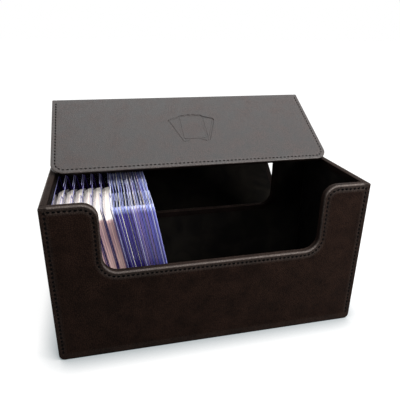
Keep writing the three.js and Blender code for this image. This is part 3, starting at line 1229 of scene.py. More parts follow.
@dataclass
class HemmedPanel:
    """A board wrapped in leatherette, as rings that follow its outline."""

    path: RoundedPath
    edge: HemmedEdge
    place: Place
    hemmed: Share
    sewn: Share
    pulled: Share
    upright_shade: float = 0.0

    # The inset over which an edge's way up is measured, and the range between upright and level
    STEP = 0.5
    UPRIGHT_TO_LEVEL = (0.1, 0.9)

    def rings(self) -> tuple[list[np.ndarray], list[np.ndarray]]:
        """Draws the rings from the outer face to the skin's inner side.

        The upright edges get less of the rubbing and painted highlight than those that face up:
        painted shade, as light falls from above.

        Returns:
            The rings, and the rubbing and painted highlight of each of their points.
        """
        outline = self.path.ring(0.0)
        upward = (outline - self.path.ring(self.STEP))[:, 1] / self.STEP
        # Painted shade: edges that stand upright stay darker than those that face up
        lit_from_above = 1 - self.upright_shade * (1 - smoothstep(upward, *self.UPRIGHT_TO_LEVEL))
        seam = self.edge.seam
        along = run_lengths(self.path.ring(seam.inset))
        sewn = self.sewn(outline)
        pull = seam.depth(along) - seam.furrow_depth
        furrow = sewn * (seam.furrow_depth + pull * self.pulled(outline))
        # The puffs between stitches are lighter: partly rubbing and partly painted highlight
        swell = self.edge.border_wear * sewn * seam.swell(along)
        hem = self.hemmed(outline)
        rings, wear = [], []
        for full, plain in zip(self.edge.profile(True), self.edge.profile(False)):
            near, far = self.path.ring(full[0]), self.path.ring(plain[0])
            flat = near * hem[:, None] + far * (1 - hem[:, None])
            depth = full[1] * hem + plain[1] * (1 - hem) + full[2] * furrow
            rings.append(self.place(flat, depth))
            rubbed_and_highlit = full[3] * hem + plain[3] * (1 - hem)
            wear.append((rubbed_and_highlit + full[2] * swell) * lit_from_above)
        return rings, wear

    def seam_run(self) -> tuple[np.ndarray, np.ndarray]:
        """Finds where the stitches lie.

        Returns:
            The seam's line on the outer face and the way out of the face along it.
        """
        line = self.path.ring(self.edge.seam.inset)
        bottom = self.place(line, np.full(len(line), self.edge.seam.furrow_depth))
        above = self.place(line, np.full(len(line), self.edge.seam.furrow_depth - 1))
        return bottom, above - bottom


@dataclass
class TrayWall:
    """What the tray's walls share: their edge, and how skin and stitches are dressed."""

    finishes: Finishes
    side: str
    edge: HemmedEdge = HemmedEdge()
    bottom_radius: float = 4.0

    # How squarely a face looks into the bay where it takes the darker hem leatherette, which is
    # painted shade
    FACING = 0.8

    @property
    def node(self) -> str:
        """The CAD node of the wall's leatherette."""
        return f"{self.side}_wall_leatherette"

    def pieces(
        self, draft: MeshDraft, inward: Vector, threads: ThreadRow
    ) -> list[bpy.types.Object]:
        """Dresses the wall. Its faces that look into the bay are hem, in the darker leatherette
        that is painted shade.

        Args:
            draft: The skin's mesh.
            inward: The way into the bay.
            threads: The wall's stitches.

        Returns:
            The skin and the stitches.
        """
        name = self.node.replace("leatherette", "cover_skin")
        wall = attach(draft.piece(name, [self.finishes.tray, self.finishes.hem]), "tray")
        # Painted shade: faces that look into the bay take the darker leatherette
        for face in wall.data.polygons:
            if face.normal.dot(inward) > self.FACING:
                face.material_index = 1
        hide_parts(self.node)
        return [wall, threads.piece(f"{self.side}_wall_stitches", self.finishes.thread, "tray")]


@dataclass
class LowCutWall(TrayWall):
    """Front or back wall of the tray, cut low in the middle for reaching in."""

    turned: bool = False
    shoulder_width: float = 35.0
    cutout_depth: float = 50.0
    cutout_radius: float = 10.5
    shoulder_corner: float = 1.2
    sewn_between: tuple[float, float] = (3.0, 9.0)
    seam_ease: float = 1.2
    # How much darker the upright edges stay than those that face up: painted shade
    upright_shade: float = 0.65

    def build(self) -> list[bpy.types.Object]:
        """Builds the wall's leatherette and its stitches.

        Returns:
            The pieces.
        """
        low, high = (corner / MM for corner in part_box(self.node))
        half, top = high.x, high.z
        reach, sill = half - self.shoulder_width, top - self.cutout_depth
        corners = [
            Corner(-half, 0, self.bottom_radius),
            Corner(half, 0, self.bottom_radius),
            Corner(half, top, self.shoulder_corner),
            Corner(reach, top, self.cutout_radius),
            Corner(reach, sill, self.cutout_radius),
            Corner(-reach, sill, self.cutout_radius),
            Corner(-reach, top, self.cutout_radius),
            Corner(-half, top, self.shoulder_corner),
        ]
        way, outer = (-1.0, high.y) if self.turned else (1.0, low.y)

        def place(flat: np.ndarray, depth: np.ndarray) -> np.ndarray:
            """Stands the wall up, with its outer face away from the bay."""
            return np.column_stack((flat[:, 0] * way, outer + depth * way, flat[:, 1]))

        def hemmed(line: np.ndarray) -> np.ndarray:
            """1 where the edge is turned in, and 0 where it meets a side wall or the floor."""
            clear = np.abs(line[:, 0]) < half - self.edge.thickness
            return clear.astype(float) * (line[:, 1] > self.bottom_radius)

        seam = self.edge.seam
        path = RoundedPath(corners, closed=True, seam=seam.inset, spacing=seam.spacing)
        panel = HemmedPanel(
            path,
            self.edge,
            place,
            hemmed,
            sewn=lambda line: smoothstep(line[:, 1], *self.sewn_between),
            pulled=lambda line: np.ones(len(line)),
            upright_shade=self.upright_shade,
        )
        draft = MeshDraft()
        draft.solid(*panel.rings())
        # The stitches run from one bottom corner up, round the cut-out and down to the other
        first = int(np.argmax(np.isclose(path.ring(0.0)[:, 0], half)))
        line, outward = (np.roll(rows, -first, axis=0) for rows in panel.seam_run())
        above = line[:, 2] > seam.inset + self.seam_ease
        threads = ThreadRow()
        threads.sew(line[above], outward[above], seam)
        return self.pieces(draft, Vector((0.0, way, 0.0)), threads)


@dataclass
class SideWall(TrayWall):
    """Left or right wall of the tray: one sheet bent under the floor and over the rim."""

    way: float = 1.0
    bend_steps: int = 8
    end_reach: float = 0.28

    def build(self) -> list[bpy.types.Object]:
        """Builds the wall's leatherette and its stitches.

        Returns:
            The pieces.
        """
        low, high = (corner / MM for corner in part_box(self.node))
        outer, top = (high.x if self.way > 0 else low.x), high.z
        seam, radius, skin = self.edge.seam, self.bottom_radius, self.edge.skin
        stations = seam.stations(low.y - self.end_reach, high.y + self.end_reach)
        sunk = seam.depth(stations - stations[0]) * seam.tension(stations)
        bend = np.linspace(math.pi / 2, 0, self.bend_steps)
        cos, sin = np.cos(bend), np.sin(bend)
        outside = np.column_stack((radius * (1 - cos), radius * (1 - sin)))
        inner = radius - skin
        inside = np.column_stack((radius - inner * cos, radius - inner * sin))[::-1]
        foot = self.edge.thickness
        profile = self.edge.profile(True)
        rings = []
        for y, depth in zip(stations, sunk):
            upper = np.column_stack((profile[:, 1] + profile[:, 2] * depth, top - profile[:, 0]))
            ring = np.vstack(([(foot, 0)], outside, upper, inside, [(foot, skin)]))
            rings.append(
                np.column_stack((outer - self.way * ring[:, 0], np.full(len(ring), y), ring[:, 1]))
            )
        flat = np.zeros(len(outside) + 1)
        wear = np.concatenate((flat, profile[:, 3], flat))
        draft = MeshDraft()
        draft.solid(rings, [wear] * len(rings))
        line = np.column_stack(
            (
                np.full(len(stations), outer - self.way * seam.furrow_depth),
                stations,
                np.full(len(stations), top - seam.inset),
            )
        )
        threads = ThreadRow()
        threads.sew(line, np.tile((self.way, 0.0, 0.0), (len(line), 1)), seam)
        return self.pieces(draft, Vector((-self.way, 0.0, 0.0)), threads)


@dataclass(frozen=True)
class PanelFrame:
    """Where a cover panel lies: its fold's axis and the way that it runs from there."""

    y: float
    z: float
    angle: float

    def world(self, across: np.ndarray, along: np.ndarray, inward: np.ndarray) -> np.ndarray:
        """Places points of the panel.

        Args:
            across: Distances along X.
            along: Distances from the fold.
            inward: Heights over the panel's middle plane, on its lining side.

        Returns:
            Rows of x, y and z.
        """
        c, s = math.cos(self.angle), math.sin(self.angle)
        spread = np.broadcast_arrays(across, along, inward)
        across, along, inward = (part.ravel() for part in spread)
        return np.column_stack(
            (across, self.y + along * c - inward * s, self.z + along * s + inward * c)
        )


@dataclass(frozen=True)
class CardFan:
    """A generic motif pressed into the flap: outlines of three blank cards held as a fan."""

    across: float
    along: float
    card_width: float = 20.0
    card_height: float = 28.0
    card_corner: float = 2.2
    spread_deg: float = 19.0
    pivot_drop: float = 17.0
    line: float = 1.15
    depth: float = 1.1
    field_depth: float = 0.35
    half_size: tuple[float, float] = (27.0, 20.0)

    # In groove widths: its flat floor, and the border of a card that hides those behind it
    GROOVE_FLOOR = 0.15
    OVERLAP = 0.6

    def _outside(self, x: np.ndarray, y: np.ndarray, tilt: float) -> np.ndarray:
        """Measures how far outside one card points are.

        Args:
            x: Distances to the right of the motif's middle.
            y: Distances above it.
            tilt: The card's turn in the fan, in radians.

        Returns:
            A distance for each point, below 0 on the card.
        """
        c, s = math.cos(tilt), math.sin(tilt)
        v = y + self.pivot_drop
        u, v = x * c - v * s, x * s + v * c - self.pivot_drop
        qx = np.abs(u) - self.card_width / 2 + self.card_corner
        qy = np.abs(v) - self.card_height / 2 + self.card_corner
        outside = np.hypot(np.maximum(qx, 0), np.maximum(qy, 0))
        return outside + np.minimum(np.maximum(qx, qy), 0) - self.card_corner

    def pressed(self, across: np.ndarray, along: np.ndarray) -> np.ndarray:
        """Measures how deep the motif is pressed in. The middle card lies over the other two.

        Args:
            across: Distances along X.
            along: Distances from the front fold.

        Returns:
            A depth for each point.
        """
        x, y = across - self.across, self.along - along
        sunk, hidden = np.zeros_like(x), np.zeros_like(x)
        spread = math.radians(self.spread_deg)
        for tilt in (0.0, spread, -spread):
            gap = self._outside(x, y, tilt)
            band = smoothstep(-np.abs(gap), -self.line, -self.GROOVE_FLOOR * self.line)
            inner = self.field_depth * smoothstep(-gap, 0, self.line)
            sunk = np.maximum(sunk, np.maximum(self.depth * band, inner) * (1 - hidden))
            hidden = np.maximum(hidden, smoothstep(-gap, 0, self.line * self.OVERLAP))
        return sunk


@dataclass
class Cover:
    """The folding cover: back panel, top panel and flap, joined by leatherette and suede folds."""

    finishes: Finishes
    flap_slope_deg: float = 29.7
    flap_length: float = 81.6
    flap_corner: float = 10.0
    half_thickness: float = 1.5
    setback: float = 1.8
    lining_lap: float = 4.6
    lining_sheet: float = 0.22
    lining_lift: float = 0.04
    lining_ease: float = 0.1
    motif_across: float = 3.0
    motif_share: float = 0.47
    refine: int = 3
    lead_steps: int = 4
    bend_steps: int = 9
    lap_steps: int = 6
    edge: HemmedEdge = HemmedEdge(
        thickness=3.0,
        skin=0.6,
        outer_round=0.85,
        inner_round=0.6,
        face=10.5,
        edge_wear=0.0,
        seam=Seam(inset=3.1, thread_width=0.95, furrow=1.1, furrow_depth=0.08, hole_depth=0.26),
    )

    # A face takes the darker hem leatherette, which is painted shade, where it faces the lining
    # side this squarely and lies this near its level, in millimetres
    FACING = 0.6
    HEM_REACH = 0.5
    # The flap's near edge takes the darker hem leatherette too, as painted shade, from here on, and
    # from this share of its round upward
    NEAR_EDGE = 0.9
    ROUND_SHARE = 0.4

    def __post_init__(self) -> None:
        """Reads the folds' axes and the cover's width from the frame."""
        places = {joint["name"]: joint.get("pos_m") for joint in frame["joints"]}
        names = ("base_fold_hinge", "back_fold_hinge", "front_fold_hinge")
        self.axes = [(places[name][1] / MM, places[name][2] / MM) for name in names]
        self.half_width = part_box("top_cover_leatherette")[1].x / MM
        base, back, front = self.axes
        pairs = ((base, back), (back, front))
        rise = [math.atan2(b[1] - a[1], b[0] - a[0]) for a, b in pairs]
        angles = [*rise, math.pi + math.radians(self.flap_slope_deg)]
        self.lengths = [math.dist(a, b) for a, b in pairs]
        self.frames = [PanelFrame(*axis, angle) for axis, angle in zip(self.axes, angles)]

    def bar(
        self,
        place: Callable[[float, np.ndarray], np.ndarray],
        stations: np.ndarray,
        sunk: np.ndarray,
    ) -> MeshDraft:
        """Sweeps the leatherette's section, from its left hem over the outside to its right hem.

        Args:
            place: Puts a section's rows of x and height over the middle plane at a station.
            stations: Distances along the panel.
            sunk: The furrows' depth at each.

        Returns:
            The swept mesh, closed at both ends.
        """
        rows = self.edge.profile(True)
        rings = []
        for station, depth in zip(stations, sunk):
            height = rows[:, 1] + rows[:, 2] * depth - self.half_thickness
            right = np.column_stack((self.half_width - rows[:, 0], height))
            left = right[::-1] * np.array((-1.0, 1.0))
            rings.append(place(station, np.vstack((left, right))))
        draft = MeshDraft()
        draft.solid(rings, [np.concatenate((rows[::-1, 3], rows[:, 3]))] * len(rings))
        return draft

    def skin(self, draft: MeshDraft, name: str) -> bpy.types.Object:
        """Makes a piece of the cover's leatherette.

        The hems on the lining side, and the flap's near edge below its round, get the darker
        leatherette, which is painted shade.

        Args:
            draft: Its mesh.
            name: The name of the panel or fold.

        Returns:
            The piece.
        """
        piece = draft.piece(f"{name}_skin", [self.finishes.cover, self.finishes.hem])
        for face in piece.data.polygons:
            middle = face.center / MM
            for panel in self.frames:
                run = Vector((0.0, math.cos(panel.angle), math.sin(panel.angle)))
                rise = Vector((0.0, -run.z, run.y))
                offset = Vector((0.0, middle.y - panel.y, middle.z - panel.z))
                inward = offset.dot(rise)
                level = abs(inward - self.half_thickness) < self.HEM_REACH
                hem = level and face.normal.dot(rise) > self.FACING
                near_edge = offset.dot(run) > self.flap_length - self.NEAR_EDGE
                below_round = inward > -self.ROUND_SHARE * self.half_thickness
                # Painted shade: hems and the flap's near edge below its round take the darker
                # leatherette
                if hem or (panel is self.frames[2] and near_edge and below_round):
                    face.material_index = 1
        return piece

    def pieces(self, draft: MeshDraft, name: str, threads: ThreadRow) -> list[bpy.types.Object]:
        """Dresses a panel.

        Args:
            draft: The mesh of its leatherette.
            name: The panel's name, which is also its body's.
            threads: Its stitches.

        Returns:
            The skin and the stitches.
        """
        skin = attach(self.skin(draft, name), name)
        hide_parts(f"{name}_leatherette")
        return [skin, threads.piece(f"{name}_stitches", self.finishes.thread, name)]

    def straight_panel(
        self, name: str, where: PanelFrame, length: float
    ) -> list[bpy.types.Object]:
        """Builds the back or top panel's leatherette with a seam down each side.

        Args:
            name: The panel's name and body.
            where: Its place.
            length: From fold to fold.

        Returns:
            The pieces.
        """
        seam = self.edge.seam
        stations = seam.stations(self.setback, length - self.setback)
        pull = (seam.depth(stations - stations[0]) - seam.furrow_depth) * seam.tension(stations)

        def place(station: float, rows: np.ndarray) -> np.ndarray:
            """Lays a section across the panel."""
            return where.world(rows[:, 0], station, rows[:, 1])

        draft = self.bar(place, stations, seam.furrow_depth + pull)
        threads = ThreadRow()
        for way in (-1, 1):
            across = way * (self.half_width - seam.inset)
            line = where.world(across, stations, seam.furrow_depth - self.half_thickness)
            outward = where.world(across, stations, -self.half_thickness - 1) - line
            threads.sew(line, outward, seam)
        return self.pieces(draft, name, threads)

    def flap(self) -> list[bpy.types.Object]:
        """Builds the flap's leatherette, with round near corners, a seam round them and the motif.

        Returns:
            The pieces.
        """
        length, half, seam = self.flap_length, self.half_width, self.edge.seam
        corners = [
            Corner(half, self.setback),
            Corner(half, length, self.flap_corner),
            Corner(-half, length, self.flap_corner),
            Corner(-half, self.setback),
        ]

        def place(flat: np.ndarray, depth: np.ndarray) -> np.ndarray:
            """Lays points of the flap on its panel."""
            return self.frames[2].world(flat[:, 0], flat[:, 1], depth - self.half_thickness)

        path = RoundedPath(corners, closed=False, seam=seam.inset, spacing=seam.spacing)
        panel = HemmedPanel(
            path,
            self.edge,
            place,
            hemmed=lambda line: np.ones(len(line)),
            sewn=lambda line: np.ones(len(line)),
            pulled=lambda line: smoothstep(line[:, 1], self.setback, self.setback + seam.run_in),
        )
        rings, wear = panel.rings()
        draft = MeshDraft()
        made = draft.loft(rings, closed=False, wear=wear)
        grid = self._face_grid(draft, place, path)
        draft.face(made[-1])
        right_ends = [int(ring[0]) for ring in made]
        left_ends = [int(ring[-1]) for ring in made]
        draft.face([*grid, *right_ends[1:], *left_ends[:0:-1]])
        threads = ThreadRow()
        threads.sew(*panel.seam_run(), seam)
        return self.pieces(draft, "front_flap", threads)

    def _face_grid(self, draft: MeshDraft, place: Place, path: RoundedPath) -> list[int]:
        """Fills the flat middle of the flap, with a finer patch for the motif.

        Args:
            draft: The flap's mesh.
            place: Lays points on the panel.
            path: The flap's outline, whose innermost ring has straight sides.

        Returns:
            The corners along the fold, from left to right.
        """
        inner = path.ring(self.edge.face)
        rows, columns, fine = path.edge_steps[0], path.edge_steps[1], self.refine
        half, near = inner[:, 0].max(), inner[:, 1].max()
        motif = CardFan(self.motif_across, self.motif_share * self.flap_length)
        across = np.linspace(-half, half, columns * fine + 1)
        along = np.linspace(self.setback, near, rows * fine + 1)
        wide, tall = motif.half_size
        left, right = (
            int(np.searchsorted(across, motif.across + s * wide)) // fine for s in (-1, 1)
        )
        low, high = (int(np.searchsorted(along, motif.along + s * tall)) // fine for s in (-1, 1))
        wanted = {(i * fine, j * fine) for i in range(columns + 1) for j in range(rows + 1)}
        wanted |= {
            (i, j)
            for i in range(left * fine, right * fine + 1)
            for j in range(low * fine, high * fine + 1)
        }
        order = sorted(wanted)
        spots = np.array([(across[i], along[j]) for i, j in order])
        indices = draft.add(place(spots, motif.pressed(spots[:, 0], spots[:, 1])))
        known = dict(zip(order, indices.tolist()))
        span = range(fine)
        for i in range(columns):
            for j in range(rows):
                a, b = i * fine, j * fine
                if left <= i < right and low <= j < high:
                    for u in range(a, a + fine):
                        for v in range(b, b + fine):
                            ring = ((u, v), (u + 1, v), (u + 1, v + 1), (u, v + 1))
                            draft.face([known[spot] for spot in ring])
                    continue
                # A large face beside the patch takes up the patch's corners on its edge
                walk = [(a + k, b) for k in span] + [(a + fine, b + k) for k in span]
                walk += [(a + fine - k, b + fine) for k in span] + [(a, b + fine - k) for k in span]
                draft.face([known[spot] for spot in walk if spot in known])
        return [known[i * fine, 0] for i in range(columns + 1)]

    def fold(
        self,
        name: str,
        where: tuple[float, float],
        before: float,
        after: float,
        bodies: tuple[str, str],
    ) -> list[bpy.types.Object]:
        """Builds the bent leatherette and the bent suede of one fold.

        Args:
            name: The fold's CAD node.
            where: Its axis.
            before: The way that the panel before it runs.
            after: The way that the panel after it runs.
            bodies: The bodies on either side.

        Returns:
            The pieces. The base fold has no suede of its own.
        """
        turn = after - before
        half_turn = turn / 2
        lead, follow = PanelFrame(*where, before), PanelFrame(*where, after)
        middle = PanelFrame(*where, before + half_turn)

        def bent(station: float, rows: np.ndarray) -> np.ndarray:
            """Puts a section of the fold in place.

            Args:
                station: Below 0 before the bend, 0 to 1 in it and above 1 after it.
                rows: The section's rows of x and height over the middle plane.

            Returns:
                Rows of x, y and z.
            """
            mitre = np.maximum(rows[:, 1], 0) * math.tan(half_turn)
            if station <= 0:
                return lead.world(rows[:, 0], np.minimum(station, -mitre), rows[:, 1])
            if station >= 1:
                return follow.world(rows[:, 0], np.maximum(station - 1, mitre), rows[:, 1])
            turned = PanelFrame(*where, before + turn * station)
            outer = turned.world(rows[:, 0], 0.0, rows[:, 1])
            corner = middle.world(rows[:, 0], 0.0, rows[:, 1] / math.cos(half_turn))
            return np.where((rows[:, 1] > 0)[:, None], corner, outer)

        inner = self.half_thickness + self.edge.proud
        reach = self.setback * math.cos(half_turn) - inner * math.sin(half_turn)
        start, end = (tuple(middle.world(0.0, s * reach, 0.0)[0] * MM) for s in (-1, 1))
        lead_in = np.linspace(-self.setback, 0, self.lead_steps)
        round_it = np.linspace(0, 1, self.bend_steps)[1:-1]
        stations = np.concatenate((lead_in, round_it, 1 - lead_in[::-1]))
        furrow = np.full(len(stations), self.edge.seam.furrow_depth)
        bead = self.skin(self.bar(bent, stations, furrow), name)
        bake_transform(bead)
        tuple(start)
        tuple(end)
        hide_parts(name)
        if bodies[0] == "tray":
            return [bead]
        side = self.half_width - self.edge.hem + self.lining_ease
        low = self.half_thickness + self.lining_lift
        across = np.linspace(-side, side, 3)
        faces = ((across, low), (across[::-1], low + self.lining_sheet))
        rows = np.vstack([np.column_stack((x, np.full(len(x), height))) for x, height in faces])
        lap = np.linspace(-self.lining_lap, 0, self.lap_steps)
        sheet = MeshDraft()
        sheet.solid([bent(s, rows) for s in np.concatenate((lap, [0.5], 1 - lap[::-1]))])
        lining = sheet.piece(f"{name}_lining", [self.finishes.suede])
        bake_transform(lining)
        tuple(start)
        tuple(end)
        return [bead, lining]

    def build(self) -> list[bpy.types.Object]:
        """Builds the whole cover.

        Returns:
            The pieces.
        """
        made = []
        for name, where, length in zip(("back_cover", "top_cover"), self.frames, self.lengths):
            made += self.straight_panel(name, where, length)
        made += self.flap()
        base, back, flap = (panel.angle for panel in self.frames)
        made += self.fold("base_fold", self.axes[0], 0.0, base, ("tray", "back_cover"))
        made += self.fold("back_fold", self.axes[1], base, back, ("back_cover", "top_cover"))
        made += self.fold("front_fold", self.axes[2], back, flap, ("top_cover", "front_flap"))
        return made


def standing(outline: np.ndarray, x: float) -> np.ndarray:
    """Stands an outline in Y and Z up at an X."""
    return np.column_stack((np.full(len(outline), x), outline))


def upright_outline(width: float, height: float, corner: float, spacing: float) -> RoundedPath:
    """Draws the outline of a card or sleeve that stands on its bottom edge.

    Args:
        width: Its width.
        height: Its height.
        corner: The radius of its corners.
        spacing: The distance between its points.

    Returns:
        The outline, in Y and Z.
    """
    half = width / 2
    spots = ((-half, 0.0), (half, 0.0), (half, height), (-half, height))
    corners = [Corner(y, z, corner) for y, z in spots]
    return RoundedPath(corners, closed=True, seam=0.0, spacing=spacing)


class SleevePart(IntEnum):
    """The parts of a sleeve that have their own finish."""

    SHEET = 0
    RAIL = 1
    LEFT_EDGE = 2
    RIGHT_EDGE = 3
    POCKET_SIDE = 4


class SleeveKind(Enum):
    """The two thicknesses of sleeve in the row."""

    THICK = "thick"
    THIN = "thin"


@dataclass(frozen=True)
class Sleeve:
    """A toploader: two clear sheets joined along their sides and bottom, with a thumb notch."""

    thickness: float
    wall: float
    recess: float
    mirrored: bool = False
    width: float = 76.2
    height: float = 101.6
    corner: float = 3.0
    spacing: float = 6.0
    rail: float = 4.1
    seal: float = 2.5
    notch: float = 9.5
    notch_sides: int = 40
    bevel: float = 0.12
    overrun: float = 2.0
    crease_deg: float = 35.0

    # Where the sheet's edge bends, as shares of its bevel and of the step to the rails
    BEVEL_BEND = (0.4, 0.3)
    STEP_BEND = 0.6
    # In millimetres: how far the notch bites first, what counts as on a plane, an edge's reach
    NOTCH_LEAD = 0.02
    NEAR = 0.01
    EDGE_REACH = 0.05
    # How squarely a sheet's flat sides face left or right
    FACING = 0.95

    def mesh(self) -> bpy.types.Mesh:
        """Builds the sleeve standing on its bottom edge, from X 0 to its thickness.

        Returns:
            A mesh whose faces have the finishes of SleevePart. Of the pocket only the left sheet's
            side stays, and only if it's mirrored.
        """
        t, w, b, half = self.thickness, self.wall, self.bevel, self.width / 2
        across, down = self.BEVEL_BEND
        left = [(0.0, b), (b * across, b * down), (b, 0.0), (w - b * self.STEP_BEND, 0.0)]
        left += [(w, self.recess * self.STEP_BEND), (w + b / 2, self.recess)]
        profile = left + [(t - x, inset) for x, inset in reversed(left)]
        path = upright_outline(self.width, self.height, self.corner, self.spacing)
        body = self._solid("sleeve_blank", [standing(path.ring(inset), x) for x, inset in profile])
        side, top = half - self.rail, self.height + self.overrun
        opening = np.array([(-side, self.seal), (side, self.seal), (side, top), (-side, top)])
        turns = np.linspace(0, math.tau, self.notch_sides + 1)[:-1]
        circle = np.column_stack((np.cos(turns), np.sin(turns))) * self.notch + (0.0, self.height)
        pocket = self._solid("pocket_tool", [standing(opening, x) for x in (w, t - w)])
        reach = (t - w - self.NOTCH_LEAD, t + self.overrun)
        notch = self._solid("notch_tool", [standing(circle, x) for x in reach])
        for tool in (pocket, notch):
            cut = body.modifiers.new("cut", "BOOLEAN")
            cut.operation, cut.solver, cut.object = "DIFFERENCE", "EXACT", tool
        graph = bpy.context.evaluated_depsgraph_get()
        mesh = bpy.data.meshes.new_from_object(body.evaluated_get(graph))
        for spare in (body, pocket, notch):
            bpy.data.objects.remove(spare)
        mesh.materials.clear()
        shell = bmesh.new()
        shell.from_mesh(mesh)
        lined = [face for face in shell.faces if self._is_spare(face)]
        bmesh.ops.delete(shell, geom=lined, context="FACES")
        shell.to_mesh(mesh)
        shell.free()
        for face in mesh.polygons:
            face.material_index = self._part(face)
        mesh.set_sharp_from_angle(angle=math.radians(self.crease_deg))
        return mesh

    def _solid(self, name: str, rings: Sequence[np.ndarray]) -> bpy.types.Object:
        """Makes a bare solid.

        Args:
            name: Its name.
            rings: Its rings.

        Returns:
            The solid.
        """
        draft = MeshDraft()
        draft.solid(rings)
        return draft.piece(name, [])

    def _part(self, face: bpy.types.MeshPolygon) -> SleevePart:
        """Tells which part of the sleeve a face belongs to.

        Args:
            face: A face of the sleeve.

        Returns:
            The part.
        """
        across = face.center.x / MM
        if face.normal.x > self.FACING and abs(across - self.wall) < self.NEAR:
            return SleevePart.POCKET_SIDE
        if abs(face.normal.x) > self.FACING:
            return SleevePart.SHEET
        if across < self.wall + self.EDGE_REACH:
            return SleevePart.LEFT_EDGE
        if across > self.thickness - self.wall - self.EDGE_REACH:
            return SleevePart.RIGHT_EDGE
        return SleevePart.RAIL

    def _is_spare(self, face: bmesh.types.BMFace) -> bool:
        """Tells whether a face lies on the pocket's own sides or bottom and isn't kept as a mirror.

        Args:
            face: A face of the sleeve.

        Returns:
            Whether it goes.
        """
        centre = face.calc_center_median() / MM
        near = self.NEAR
        across = self.wall - near < centre.x < self.thickness - self.wall + near
        within = abs(centre.y) < self.width / 2 - self.rail + near
        inside = self.seal - near < centre.z < self.height - self.recess - near
        facing = face.normal.x > self.FACING and abs(centre.x - self.wall) < near
        return across and within and inside and not (self.mirrored and facing)


@dataclass(frozen=True)
class TradingCard:
    """A card with round corners: printed faces and a cut edge."""

    thickness: float
    width: float = 63.5
    height: float = 88.9
    corner: float = 3.0
    spacing: float = 4.0
    edge_round: float = 0.05

    def draft(self) -> MeshDraft:
        """Builds the card standing on its bottom edge, from X 0 to its thickness.

        Returns:
            A mesh whose faces have finish 0 and whose edge has finish 1.
        """
        path = upright_outline(self.width, self.height, self.corner, self.spacing)
        e, t = self.edge_round, self.thickness
        profile = ((0.0, e), (e, 0.0), (t - e, 0.0), (t, e))
        draft = MeshDraft()
        draft.solid([standing(path.ring(inset), x) for x, inset in profile], finish=1)
        return draft


